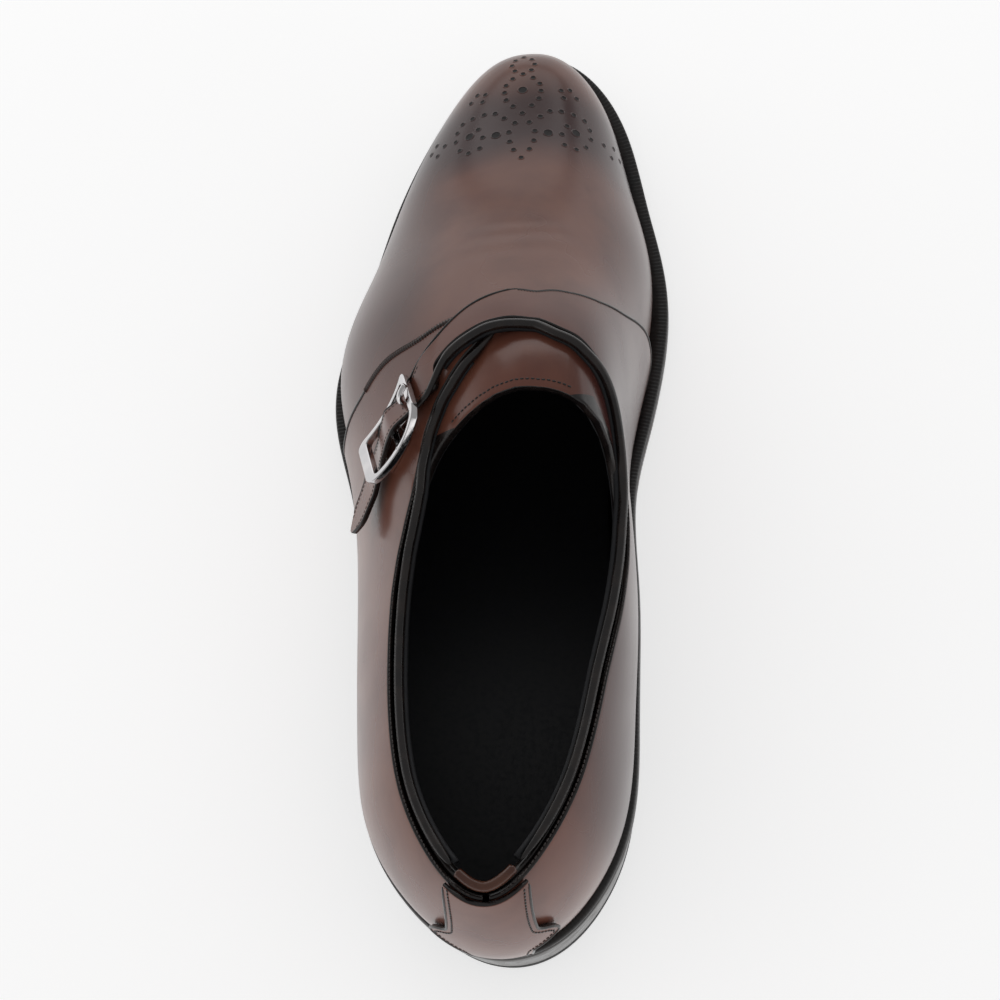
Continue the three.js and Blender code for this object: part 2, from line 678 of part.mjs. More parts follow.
const makePiping = (table, edge, steps) => bar(
  pipingFrames(table, edge, steps), 8, PIPING, PIPING, false);

// The collar edge across the back of the heel, from the medial side to the lateral side.
const heelEdge = (turn) => (turn < 0 ? medialEdge(turn + 1) : lateralEdge(turn));

// Sole pieces
const SOLE_POINTS = 78;

function planPoint(turn, out) {
  const step = 0.002;
  const here = featherPoint(turn);
  const ahead = featherPoint(turn + step);
  const behind = featherPoint(turn - step);
  const dx = ahead.x - behind.x;
  const dy = ahead.y - behind.y;
  const length = Math.hypot(dx, dy);
  return { x: here.x - dy / length * out, y: here.y + dx / length * out };
}

function soleRing(outOf, heightOf) {
  const ring = [];
  for (let k = 0; k < SOLE_POINTS; k += 1) {
    const turn = k / SOLE_POINTS;
    const edge = featherPoint(turn);
    const { x, y } = planPoint(turn, outOf(edge.along));
    ring.push(new THREE.Vector3(x, y, heightOf(shareOf(y))));
  }
  return ring;
}

function makeOutsole() {
  return rings([
    soleRing((t) => marginAt(t) - 1.2, ground),
    soleRing(marginAt, (t) => ground(t) + 1.2),
    soleRing(marginAt, (t) => ground(t) + OUTSOLE - 0.6),
    soleRing((t) => marginAt(t) - 0.5, (t) => ground(t) + OUTSOLE),
  ], true);
}

const WELT_INSIDE = -7;

function makeWelt() {
  const base = (t) => ground(t) + OUTSOLE + GAP;
  return rings([
    soleRing(() => WELT_INSIDE, base),
    soleRing((t) => marginAt(t) - 0.4, base),
    soleRing((t) => marginAt(t) - 0.1, (t) => base(t) + 0.6 * WELT),
    soleRing((t) => marginAt(t) - 0.7, weltTop),
    soleRing(() => WELT_INSIDE, weltTop),
  ], false);
}

// The insole rests on the welt and its middle drops inside the welt onto the outsole.
function makeInsole() {
  const inside = () => WELT_INSIDE - FIT;
  const full = () => -WALL - 2 * FIT;
  return rings([
    soleRing(inside, (t) => ground(t) + OUTSOLE + GAP),
    soleRing(inside, (t) => weltTop(t) + GAP),
    soleRing(full, (t) => weltTop(t) + GAP),
    soleRing(full, (t) => weltTop(t) + GAP + INSOLE),
  ], true);
}

// Heel blocks follow the outsole's edge from the breast round the back.
const HEEL_TURN = 0.168;
const HEEL_STEPS = 18;

function heelRing(inset, heightOf) {
  const ring = [];
  for (let k = -HEEL_STEPS; k <= HEEL_STEPS; k += 1) {
    const turn = HEEL_TURN * k / HEEL_STEPS;
    const edge = featherPoint(turn);
    const { x, y } = planPoint(turn, marginAt(edge.along) - inset);
    ring.push(new THREE.Vector3(x, y, heightOf(shareOf(y))));
  }
  return ring;
}

function heelBlock(layers) {
  const count = 2 * HEEL_STEPS + 1;
  const points = layers.flat();
  const faces = [];
  for (let r = 0; r < layers.length - 1; r += 1) {
    for (let k = 0; k < count; k += 1) {
      const next = (k + 1) % count;
      faces.push(...quad(r * count + k, r * count + next, (r + 1) * count + next,
        (r + 1) * count + k));
    }
  }
  for (const [base, flip] of [[0, true], [(layers.length - 1) * count, false]]) {
    const put = (a, b, c) => faces.push(flip ? [base + a, base + c, base + b]
      : [base + a, base + b, base + c]);
    for (let k = 0; k < HEEL_STEPS - 1; k += 1) {
      put(k, k + 1, count - 2 - k);
      put(k, count - 2 - k, count - 1 - k);
    }
    put(HEEL_STEPS - 1, HEEL_STEPS, HEEL_STEPS + 1);
  }
  return solid(points, faces);
}

const makeHeelStack = () => heelBlock([
  heelRing(1.2, () => TOP_LIFT + GAP),
  heelRing(0.5, (t) => ground(t) - GAP - 0.05),
]);

const makeTopLift = () => heelBlock([
  heelRing(2.2, () => 0),
  heelRing(1.4, () => 0.8),
  heelRing(1.2, () => TOP_LIFT),
]);

// The buckle is rigid, and keeps its own axes over the strap's highest place.
const BUCKLE_PLACE = 3;
const BUCKLE_AHEAD = 2;
const BUCKLE_ASIDE = 1.2;
const BUCKLE_SKEW = 2;
const BUCKLE_PITCH = -6;

function buckleAxes() {
  const { at, normal, along, side } = tailFrame(BUCKLE_PLACE);
  for (const axis of [along, side]) axis.applyAxisAngle(normal, radians(BUCKLE_SKEW));
  for (const axis of [along, normal]) axis.applyAxisAngle(side, radians(BUCKLE_PITCH));
  at.addScaledVector(along, BUCKLE_AHEAD).addScaledVector(side, BUCKLE_ASIDE);
  return { at, normal, along, side };
}

const buckle = buckleAxes();

const onBuckle = (along, across, off) => buckle.at.clone()
  .addScaledVector(buckle.along, along)
  .addScaledVector(buckle.side, across)
  .addScaledVector(buckle.normal, off);

// Axes at each point of a line: along it, across it and off it.
function framesThrough(points, normals) {
  const end = points.length - 1;
  return points.map((at, i) => {
    const along = points[Math.min(i + 1, end)].clone().sub(points[Math.max(i - 1, 0)]).normalize();
    const side = normals[i].clone().cross(along).normalize();
    return { at, side, normal: along.clone().cross(side) };
  });
}

// Height of the frame's own middle over the base wall: highest at the end bars.
const FRAME_END = 7.4;
const FRAME_MIDDLE = 5.2;
const frameHeight = (along) => FRAME_MIDDLE
  + (FRAME_END - FRAME_MIDDLE) * (2 * along / BUCKLE_LENGTH) ** 2;
const CENTRE_BAR_OFF = 4.75;

// A rectangle with round corners, whose long sides swell outward.
function frameOutline(length, width, corner) {
  const points = [];
  const x0 = length / 2 - corner;
  const y0 = width / 2 - corner;
  for (const [sx, sy, from] of [[1, 1, 0], [-1, 1, 90], [-1, -1, 180], [1, -1, 270]]) {
    for (let k = 0; k <= 3; k += 1) {
      const angle = radians(from + 30 * k);
      points.push([sx * x0 + corner * Math.cos(angle), sy * y0 + corner * Math.sin(angle)]);
    }
    if (sx === sy) {
      for (const share of [0.5, 0, -0.5]) points.push([sx * share * x0, sy * width / 2]);
    }
  }
  return points.map(([a, b]) => [a, b + Math.sign(b) * BUCKLE_SWELL * (1 - (2 * a / length) ** 2)]);
}

// The frame's section: share of the way from its outer to its inner edge, share of its thickness.
const FRAME_SECTION = [[0, -0.3], [0, 0.3], [0.15, 0.5], [0.85, 0.5], [1, 0.3], [1, -0.3],
  [0.85, -0.5], [0.15, -0.5]];

function makeBuckleFrame() {
  const outer = frameOutline(BUCKLE_LENGTH, BUCKLE_WIDTH, BUCKLE_CORNER);
  const inner = frameOutline(BUCKLE_LENGTH - 2 * END_BAR, BUCKLE_WIDTH - 2 * SIDE_BAR,
    BUCKLE_CORNER - SIDE_BAR);
  const loops = FRAME_SECTION.map(([part, up]) => outer.map(([a, b], k) => {
    const along = a + (inner[k][0] - a) * part;
    const across = b + (inner[k][1] - b) * part;
    return onBuckle(along, across, frameHeight(along) + up * BAR_THICK);
  }));
  const reach = (BUCKLE_WIDTH - SIDE_BAR) / 2 + BUCKLE_SWELL;
  const line = [-1, -0.86, -0.7, 0, 0.7, 0.86, 1];
  const rod = line.map((s) => onBuckle(0, s * reach, centreBarHeight(s)));
  const rodNormals = line.map(() => buckle.normal);
  const centre = bar(framesThrough(rod, rodNormals), 8, CENTRE_BAR, CENTRE_BAR, false);
  return joined(rings(loops, false), centre);
}

const centreBarHeight = (share) => CENTRE_BAR_OFF
  + (FRAME_MIDDLE - CENTRE_BAR_OFF) * smootherStep((Math.abs(share) - 0.78) / 0.2);

// The prong runs from the centre bar under the strap, up through its hole and over the front bar.
const PRONG_LINE = [
  { along: -2.1, off: 4.6 },
  { along: -4.0, off: 4.2 },
  { along: -5.8, off: 4.1 },
  { along: -7.2, off: 4.7 },
  { along: -8.2, off: 6.2 },
  { along: -9.1, off: 8.0 },
  { along: -10.5, off: 9.0 },
  { along: -12.2, off: 9.3 },
  { along: -14.0, off: 9.2 },
];
const HOLE_PLACE = -7.6;

function makeProng() {
  const points = PRONG_LINE.map((row) => onBuckle(row.along, 0, row.off));
  const end = points.length - 1;
  const normals = points.map((p, i) => points[Math.min(i + 1, end)].clone()
    .sub(points[Math.max(i - 1, 0)]).cross(buckle.side).normalize());
  return bar(framesThrough(points, normals), 6, PRONG, PRONG, false);
}

// Cutter for the hole in the strap that the prong comes through.
function prongHole() {
  const ends = [2.5, 10].map((off) => onBuckle(HOLE_PLACE, 0, off));
  const normals = ends.map(() => buckle.along);
  return bar(framesThrough(ends, normals), 10, PRONG_HOLE, PRONG_HOLE, false);
}

// The tab that holds the centre bar, laid on the lateral quarter under the strap.
const TAB_FROM = 0.5;
const TAB_LENGTH = 10;
const TAB_LOW = 2.35;
const TAB_HIGH = 2.9;
const PLACE_PER_MM = 0.157;

function makeBuckleTab() {
  const places = [];
  for (let i = 0; i <= 6; i += 1) {
    places.push(BUCKLE_PLACE + (TAB_FROM + TAB_LENGTH * i / 6) * PLACE_PER_MM);
  }
  const layer = (off) => places.map((place) => {
    const frame = tailFrame(place, 0);
    return [-1, -0.33, 0.33, 1].map((s) => frame.at.clone()
      .addScaledVector(frame.side, s * TAB_HALF)
      .addScaledVector(frame.normal, off));
  });
  return shell(layer(TAB_HIGH), layer(TAB_LOW), false);
}

// Joins and cuts
function toManifold(geometry) {
  const plain = new THREE.BufferGeometry();
  plain.setAttribute('position', geometry.getAttribute('position'));
  plain.setIndex(geometry.getIndex());
  const merged = mergeVertices(plain, 1e-4);
  return new wasm.Manifold(new wasm.Mesh({
    numProp: 3,
    vertProperties: new Float32Array(merged.getAttribute('position').array),
    triVerts: new Uint32Array(merged.getIndex().array),
  }));
}

function fromManifold(body) {
  const mesh = body.getMesh();
  const geometry = new THREE.BufferGeometry();
  geometry.setAttribute('position', new THREE.BufferAttribute(mesh.vertProperties.slice(), 3));
  geometry.setIndex(new THREE.BufferAttribute(mesh.triVerts.slice(), 1));
  geometry.computeVertexNormals();
  return geometry;
}

const cutBy = (whole, tool) => fromManifold(toManifold(whole).subtract(toManifold(tool)));
const joined = (a, b) => fromManifold(toManifold(a).add(toManifold(b)));

// The shoe
const shoe = new THREE.Group();
shoe.add(
  meshOf('upper', makeUpper(), CALF),
  meshOf('outsole', makeOutsole(), EDGE),
  meshOf('welt', makeWelt(), EDGE),
  meshOf('insole', makeInsole(), LINING),
  meshOf('heel_stack', makeHeelStack(), EDGE),
  meshOf('heel_top_lift', makeTopLift(), RUBBER),
  meshOf('medial_quarter_strap', makeMedialQuarter(), CALF),
  meshOf('lateral_quarter', makeLateralQuarter(), CALF),
  meshOf('heel_strip', makeHeelStrip(), CALF),
  meshOf('heel_roll', makePiping(HEEL_ROLL, heelEdge, 6), LINING),
  meshOf('medial_piping', makePiping(MEDIAL_PIPING, medialEdge, 45), EDGE),
  meshOf('lateral_piping', makePiping(LATERAL_PIPING, lateralEdge, 32), EDGE),
  meshOf('buckle_frame', makeBuckleFrame(), STEEL),
  meshOf('buckle_prong', makeProng(), STEEL),
  meshOf('buckle_tab', makeBuckleTab(), CALF),
);

export default shoe;
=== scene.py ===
# Looks of a monk strap shoe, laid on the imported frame.
# Shapes are worked out in millimetres in the frame's axes and put in the scene in metres.
import math

import bpy
import numpy as np
from mathutils import Matrix


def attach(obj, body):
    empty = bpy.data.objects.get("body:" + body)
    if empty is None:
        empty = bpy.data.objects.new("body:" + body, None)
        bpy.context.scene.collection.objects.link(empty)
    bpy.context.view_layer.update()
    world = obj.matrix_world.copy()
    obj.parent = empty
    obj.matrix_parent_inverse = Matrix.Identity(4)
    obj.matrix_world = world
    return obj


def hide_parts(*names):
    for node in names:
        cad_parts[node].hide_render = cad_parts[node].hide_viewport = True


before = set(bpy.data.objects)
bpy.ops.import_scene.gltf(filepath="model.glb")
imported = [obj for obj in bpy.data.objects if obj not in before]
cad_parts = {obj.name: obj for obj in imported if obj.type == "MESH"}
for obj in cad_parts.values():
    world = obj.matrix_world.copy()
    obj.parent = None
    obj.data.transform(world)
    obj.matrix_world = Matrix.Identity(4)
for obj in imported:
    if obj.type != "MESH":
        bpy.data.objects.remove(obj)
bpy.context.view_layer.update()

MM = 0.001

# Sizes of the last
LAST_LENGTH = 286.6
HEEL_BACK = -31.6
BALL_WIDTH = 95
INSTEP_TOP = 102
HEEL_HEIGHT = 25
TOE_SPRING = 11
TOE_CURVE = 1.8
HEEL_BULGE = 3
HEEL_LEAN = 10
HEEL_LEAN_FROM = 20
HEEL_LEAN_REACH = 42
HEEL_LEAN_CURVE = 1.7
HEEL_SHARE = 0.34
FEATHER_TUCK = 0.05
TUCK_HEIGHT = 15
SEAT_END = 0.14
BALL_START = 0.645
BALL_END = 0.7
CENTRE = np.array([8.0, HEEL_BACK + 0.44 * LAST_LENGTH])

# Thicknesses and gaps
GAP = 0.3
FIT = 0.5
OUTSOLE = 5
WELT = 2.8
WALL = 2.2
QUARTER = 1.3
INSOLE = 2.4
TOP_LIFT = 6.5
PIPING = 1.3
HEEL_STRIP = 1.1
FOOT = 0.9
STRIP_FOOT = 1.7
RIM_CLEAR = 1.0
STRAP = 1.4
EDGE_ROUND = 0.55

# Sizes of the buckle
BUCKLE_LENGTH = 27
BUCKLE_WIDTH = 19.5
BUCKLE_CORNER = 3.2
BUCKLE_SWELL = 0.6
END_BAR = 3
SIDE_BAR = 1.6
BAR_THICK = 2
CENTRE_BAR = 1.1
PRONG = 0.8
BUCKLE_PLACE = 3
BUCKLE_AHEAD = 2
BUCKLE_ASIDE = 1.2
BUCKLE_SKEW = 2
BUCKLE_PITCH = -6

# along, axis, medial, lateral, ridge, fullness medial, fullness lateral
SECTIONS = np.array([
    (0.00, 1.0, 0.000, 0.000, 0.960, 2.2, 2.2),
    (0.05, 1.0, 0.242, 0.263, 0.960, 2.2, 2.0),
    (0.12, 1.5, 0.332, 0.384, 0.970, 2.3, 1.8),
    (0.22, 3.0, 0.347, 0.437, 0.980, 2.5, 1.6),
    (0.36, 8.0, 0.305, 0.521, 1.000, 4.5, 1.45),
    (0.50, 11.5, 0.258, 0.611, 0.990, 4.2, 1.6),
    (0.62, 11.5, 0.332, 0.668, 0.804, 2.6, 2.0),
    (0.72, 9.8, 0.389, 0.563, 0.647, 2.4, 2.1),
    (0.82, 9.0, 0.347, 0.452, 0.539, 2.3, 2.2),
    (0.91, 9.0, 0.284, 0.321, 0.475, 2.3, 2.3),
    (0.97, 9.6, 0.181, 0.194, 0.407, 2.3, 2.3),
    (1.00, 10.0, 0.000, 0.000, 0.000, 2.3, 2.3),
])

# along, how far the welt stands out
MARGIN = [(0.00, 4.6), (0.15, 4.6), (0.30, 4.0), (0.45, 4.6), (0.60, 6.4), (0.85, 6.5), (1.00, 6.2)]

# turns between which the wall rises from the collar to the tongue, and over which it does so
TONGUE_START = 0.2
TONGUE_END = 0.79
TONGUE_EASE = 0.03

# turn round the feather line, rise in degrees from the middle of the collar
TONGUE_EDGE = [
    (0.200, 60.0), (0.210, 66.0), (0.226, 74.1), (0.236, 78.7), (0.246, 81.2), (0.258, 82.9),
    (0.275, 84.0), (0.301, 84.9), (0.360, 85.4), (0.430, 85.2), (0.500, 85.0), (0.570, 85.0),
    (0.640, 85.2), (0.690, 84.9), (0.717, 84.5), (0.738, 83.7), (0.750, 82.2), (0.757, 80.5),
    (0.762, 78.5), (0.766, 76.3), (0.772, 71.8), (0.790, 59.4),
]
LATERAL_EDGE = [
    (0.000, 26.4), (0.030, 26.9), (0.070, 28.3), (0.110, 31.5), (0.143, 35.6),
    (0.164, 40.6), (0.180, 47.8), (0.193, 56.0), (0.207, 64.4), (0.219, 69.2),
    (0.234, 72.8), (0.256, 75.6), (0.290, 76.8), (0.340, 76.0), (0.425, 71.4),
]
MEDIAL_EDGE = [
    (0.290, 73.0), (0.345, 73.3), (0.410, 72.3), (0.500, 71.0), (0.615, 72.2),
    (0.695, 74.0), (0.738, 73.6), (0.757, 71.0), (0.770, 68.0), (0.787, 60.8),
    (0.811, 50.1), (0.832, 42.9), (0.857, 37.6), (0.900, 32.3), (0.959, 27.8),
    (1.000, 26.4),
]

# front turn, front rise, back turn, height over the wall
STRAP_STATIONS = [
    (0.998, 0, 0.998, 0.65), (0.980, 0, 0.980, 0.65), (0.955, 0, 0.955, 0.65),
    (0.905, 0, 0.905, 0.65), (0.855, 0, 0.857, 0.65), (0.805, 0, 0.820, 0.65),
    (0.760, 0, 0.800, 0.65), (0.720, 0, 0.784, 0.65), (0.710, 22, 0.770, 0.65),
    (0.707, 46, 0.757, 0.65), (0.690, 57.5, 0.738, 0.65), (0.650, 60.7, 0.695, 0.65),
    (0.590, 60.3, 0.615, 0.65), (0.510, 59.2, 0.500, 1.7), (0.435, 61.6, 0.410, 2.6),
    (0.370, 64.6, 0.345, 2.9), (0.325, 66.6, 0.300, 2.9),
]
LATERAL_STATIONS = [
    (0.002, 0, 0.002, 0.8), (0.020, 0, 0.020, 0.8), (0.045, 0, 0.045, 0.8),
    (0.070, 0, 0.070, 0.8), (0.095, 0, 0.095, 0.8), (0.145, 0, 0.143, 0.8),
    (0.190, 0, 0.180, 0.8), (0.230, 0, 0.200, 0.8), (0.256, 6, 0.214, 0.8),
    (0.261, 22, 0.228, 0.8), (0.270, 40, 0.245, 0.8), (0.287, 51, 0.270, 0.8),
    (0.312, 60.6, 0.310, 0.8), (0.360, 64.2, 0.370, 0.8), (0.420, 66.0, 0.425, 0.8),
]

# turn, rise, height of the underside over the wall, half width, twist in degrees
STRAP_TAIL = [
    (0.285, 70.6, 2.9, 6.4, 0), (0.270, 69.6, 2.9, 5.4, 7), (0.258, 68.0, 3.9, 5.2, 11),
    (0.247, 65.5, 6.6, 5.2, 9), (0.239, 60.3, 5.2, 5.2, 9), (0.234, 54.5, 3.9, 5.2, 6),
    (0.2285, 48.5, 3.8, 5.7, 3), (0.221, 41.8, 4.8, 5.8, 2), (0.214, 34.5, 6.3, 3.2, 0),
]

# turn along the collar edge, height of the piping's middle over the wall
MEDIAL_PIPING = [
    (0.972, -0.2), (0.890, -0.2), (0.840, -0.2), (0.811, -0.1), (0.797, 0.2),
    (0.784, 1.1), (0.770, 1.8), (0.757, 2.0), (0.738, 1.9), (0.695, 1.8),
    (0.615, 1.9), (0.500, 2.7), (0.410, 3.9), (0.345, 4.1), (0.300, 4.1),
]
LATERAL_PIPING = [
    (0.028, -0.2), (0.080, -0.2), (0.130, -0.2), (0.164, -0.2), (0.182, 0.0),
    (0.195, 0.2), (0.207, 0.8), (0.219, 1.7), (0.234, 1.7), (0.260, 1.7),
    (0.290, 1.7), (0.330, 1.7),
]
HEEL_ROLL = [(-0.023, -0.2), (0.0, -0.2), (0.023, -0.2)]

# share of the strip's height, half width in turns
HEEL_STRIP_SHAPE = [(0.0, 0.020), (0.30, 0.024), (0.42, 0.043), (0.48, 0.040), (0.60, 0.029), (1.0, 0.025)]

# Punched holes of the toe medallion: distance from its middle line, y. Each is on both sides.
SMALL_HOLE = 0.75
BIG_HOLE = 1.35
BIG_HOLES = [(0.0, 229.0), (16.4, 212.2), (8.0, 210.5)]
SMALL_HOLES = [
    (0.0, 245.4), (0.0, 236.2), (2.6, 243.6), (3.6, 240.8), (2.6, 237.9), (3.2, 234.3), (5.3, 231.6),
    (5.7, 228.5), (5.1, 225.2), (2.9, 222.2), (0.0, 219.0), (5.6, 217.4), (2.2, 215.0), (4.0, 211.2),
    (3.7, 207.1), (2.4, 203.4), (0.0, 199.8), (11.9, 229.4), (14.6, 230.4), (12.7, 226.4), (16.6, 227.6),
    (8.5, 219.9), (12.0, 220.3), (15.7, 219.9), (19.0, 218.9), (20.6, 215.7), (20.9, 211.8),
    (19.4, 207.3), (16.5, 205.0), (13.0, 206.0), (12.2, 210.5), (13.7, 214.4), (27.6, 215.1),
    (24.7, 212.5), (29.4, 212.5), (27.0, 209.4),
]
# A hole's edge: how far each ring reaches past the hole, how high it stands on the leather
HOLE_RINGS = [(0.45, -0.08), (0.28, 0.05), (0.1, 0.11), (0.0, 0.09), (-0.06, 0.03), (-0.3, 0.02)]
HOLE_SIDES = 20

# Creases across the vamp: y at the middle line, bow towards the heel at 30 mm out, depth, width,
# half length
CREASES = [
    (171.0, 5.0, 0.06, 1.9, 11.0), (165.5, 6.0, 0.10, 2.4, 16.0), (158.5, 8.0, 0.07, 2.8, 21.0),
]


# Curves through points
def hermite(xs, ys, slopes):
    def curve(x):
        x = np.asarray(x, float)
        k = np.clip(np.searchsorted(xs, x) - 1, 0, len(xs) - 2)
        width = xs[k + 1] - xs[k]
        s = (x - xs[k]) / width
        a = (1 + 2 * s) * (1 - s) ** 2 * ys[k] + s * (1 - s) ** 2 * width * slopes[k]
        return a + s * s * (3 - 2 * s) * ys[k + 1] + s * s * (s - 1) * width * slopes[k + 1]
    return curve


def natural(xs, ys):
    """Natural cubic spline."""
    xs, ys = np.array(xs, float), np.array(ys, float)
    n = len(xs)
    width = np.diff(xs)
    matrix, right = np.eye(n), np.zeros(n)
    for i in range(1, n - 1):
        matrix[i, i - 1:i + 2] = width[i - 1], 2 * (width[i - 1] + width[i]), width[i]
        right[i] = 6 * ((ys[i + 1] - ys[i]) / width[i] - (ys[i] - ys[i - 1]) / width[i - 1])
    bend = np.linalg.solve(matrix, right)
    start = np.diff(ys) / width - width * (2 * bend[:-1] + bend[1:]) / 6
    last = start[-1] + width[-1] * (bend[-2] + bend[-1]) / 2
    return hermite(xs, ys, np.append(start, last))


def steady(rows):
    """Cubic curve through (x, y) rows that never overshoots them."""
    xs, ys = np.array(rows, float).T
    rate = np.diff(ys) / np.diff(xs)
    slopes = np.zeros(len(xs))
    slopes[0], slopes[-1] = rate[0], rate[-1]
    product = rate[:-1] * rate[1:]
    total = np.where(product > 0, rate[:-1] + rate[1:], 1)
    slopes[1:-1] = np.where(product > 0, 2 * product / total, 0)
    return hermite(xs, ys, slopes)


def smoother(x):
    c = np.clip(x, 0, 1)
    return c ** 3 * (c * (6 * c - 15) + 10)


def turn_angle(along):
    return np.arccos(1 - 2 * np.clip(along, 0, 1))


# The last
ALONG = SECTIONS[:, 0]
axis_at = natural(ALONG, SECTIONS[:, 1])
medial_share = natural(turn_angle(ALONG), SECTIONS[:, 2])
lateral_share = natural(turn_angle(ALONG), SECTIONS[:, 3])
full_medial = natural(ALONG, SECTIONS[:, 5])
full_lateral = natural(ALONG, SECTIONS[:, 6])
margin_at = steady(MARGIN)


def share_of(y):
    return (y - HEEL_BACK) / LAST_LENGTH


def ground(along):
    seat = 1 - smoother((along - SEAT_END) / (BALL_START - SEAT_END))
    toe = np.maximum(0, (along - BALL_END) / (1 - BALL_END)) ** TOE_CURVE
    return HEEL_HEIGHT * seat + TOE_SPRING * toe


def welt_top(along):
    return ground(along) + OUTSOLE + GAP + WELT


def feather(along):
    return welt_top(np.clip(along, 0, 1)) + GAP


height_at = natural(
    turn_angle(ALONG),
    np.where(SECTIONS[:, 4] > 0, SECTIONS[:, 4] * INSTEP_TOP - feather(ALONG), 0),
)


def heel_inset(up):
    low = np.clip(1 - up / HEEL_LEAN_FROM, 0, 1)
    high = np.clip((up - HEEL_LEAN_FROM) / HEEL_LEAN_REACH, 0, 2)
    return HEEL_BULGE * low ** 2 + HEEL_LEAN * high ** HEEL_LEAN_CURVE


def heel_shift(along):
    return np.clip(1 - along / HEEL_SHARE, 0, 1) ** 2


def inside_last(x, y, z):
    along = share_of(y)
    up = z - feather(along)
    eased = along - heel_inset(up) / LAST_LENGTH * heel_shift(along)
    within = (eased > 0) & (along < 1)
    eased = np.clip(eased, 1e-9, 1 - 1e-9)
    tall = np.maximum(height_at(turn_angle(along)), 1e-6)
    side = x - axis_at(eased)
    angle = turn_angle(eased)
    share = np.where(side > 0, medial_share(angle), lateral_share(angle))
    full = np.where(side > 0, full_medial(eased), full_lateral(eased))
    level = np.clip(up / tall, 0, 1)
    tuck = 1 - FEATHER_TUCK * np.clip(1 - up / TUCK_HEIGHT, 0, 1) ** 2
    width = share * BALL_WIDTH * np.maximum(0, 1 - level ** full) ** (1 / full) * tuck
    return within & (up < tall) & (np.abs(side) < width)


def feather_point(turn):
    u = np.asarray(turn, float) % 1
    lateral = u <= 0.5
    angle = 2 * np.pi * np.where(lateral, u, 1 - u)
    eased = (1 - np.cos(angle)) / 2
    along = eased
    for _ in range(12):
        along = eased + heel_inset(0) / LAST_LENGTH * heel_shift(along)
    share = np.where(lateral, -lateral_share(angle), medial_share(angle))
    x = axis_at(eased) + share * BALL_WIDTH * (1 - FEATHER_TUCK)
    return x, HEEL_BACK + along * LAST_LENGTH, along


def ray(turn, rise):
    x, y, along = feather_point(turn)
    length = np.hypot(x - CENTRE[0], y - CENTRE[1])
    level = np.cos(rise)
    way = np.stack([(x - CENTRE[0]) / length * level, (y - CENTRE[1]) / length * level,
                    np.sin(rise) + 0 * level * length], -1)
    start = np.stack([CENTRE[0] + 0 * x, CENTRE[1] + 0 * x, feather(along)], -1)
    return start, way


def narrow(start, way, low, high, steps):
    for _ in range(steps):
        middle = (low + high) / 2
        point = start + way * middle[..., None]
        hit = inside_last(point[..., 0], point[..., 1], point[..., 2])
        low = np.where(hit, middle, low)
        high = np.where(hit, high, middle)
    return low


# A coarse chart of the skin: how far it lies along each ray, and lengths up each column.
CHART_TURNS = np.linspace(0, 1, 481)
CHART_RISES = np.radians(np.linspace(-3, 88, 112))
chart_turn, chart_rise = np.meshgrid(CHART_TURNS, CHART_RISES, indexing="ij")
chart_start, chart_way = ray(chart_turn, chart_rise)
CHART = narrow(chart_start, chart_way, np.zeros(chart_turn.shape), np.full(chart_turn.shape, 260.0), 26)


def on_grid(table, xs, ys, x, y):
    i = np.clip((x - xs[0]) / (xs[1] - xs[0]), 0, len(xs) - 1.000001)
    j = np.clip((y - ys[0]) / (ys[1] - ys[0]), 0, len(ys) - 1.000001)
    a, b = i.astype(int), j.astype(int)
    s, t = i - a, j - b
    low = table[a, b] * (1 - t) + table[a, b + 1] * t
    high = table[a + 1, b] * (1 - t) + table[a + 1, b + 1] * t
    return low * (1 - s) + high * s


def skin(turn, rise):
    """Points of the last's skin."""
    turn, rise = np.broadcast_arrays(np.asarray(turn, float), np.asarray(rise, float))
    start, way = ray(turn, rise)
    near = on_grid(CHART, CHART_TURNS, CHART_RISES, turn % 1, rise)
    reach = narrow(start, way, near - 5, near + 5, 17)
    return start + way * reach[..., None]


def unit(a):
    return a / np.maximum(np.linalg.norm(a, axis=-1, keepdims=True), 1e-12)


def normal_at(turn, rise):
    across = skin(turn + 0.003, rise) - skin(turn - 0.003, rise)
    upward = skin(turn, rise + 0.008) - skin(turn, rise - 0.008)
    return unit(np.cross(upward, across))


def off_skin(turn, rise, off):
    off = np.asarray(off, float)
    return skin(turn, rise) + normal_at(turn, rise) * off[..., None]


LENGTH_RISES = np.radians(np.linspace(0, 87, 61))
length_points = skin(CHART_TURNS[:, None], LENGTH_RISES[None, :])
length_steps = np.linalg.norm(np.diff(length_points, axis=1), axis=-1)
LENGTHS = np.concatenate([np.zeros((len(CHART_TURNS), 1)), np.cumsum(length_steps, axis=1)], axis=1)


def length_at(turn, rise):
    return on_grid(LENGTHS, CHART_TURNS, LENGTH_RISES, np.asarray(turn) % 1, np.asarray(rise))


def rise_at(turn, length):
    turn, length = np.broadcast_arrays(np.asarray(turn, float) % 1, np.asarray(length, float))
    place = np.clip(turn * (len(CHART_TURNS) - 1), 0, len(CHART_TURNS) - 1.000001)
    column = place.astype(int)
    share = place - column
    rise = np.zeros(turn.shape)
    for k in np.unique(column):
        here = column == k
        low = np.interp(length[here], LENGTHS[k], LENGTH_RISES)
        high = np.interp(length[here], LENGTHS[k + 1], LENGTH_RISES)
        rise[here] = low * (1 - share[here]) + high * share[here]
    return rise


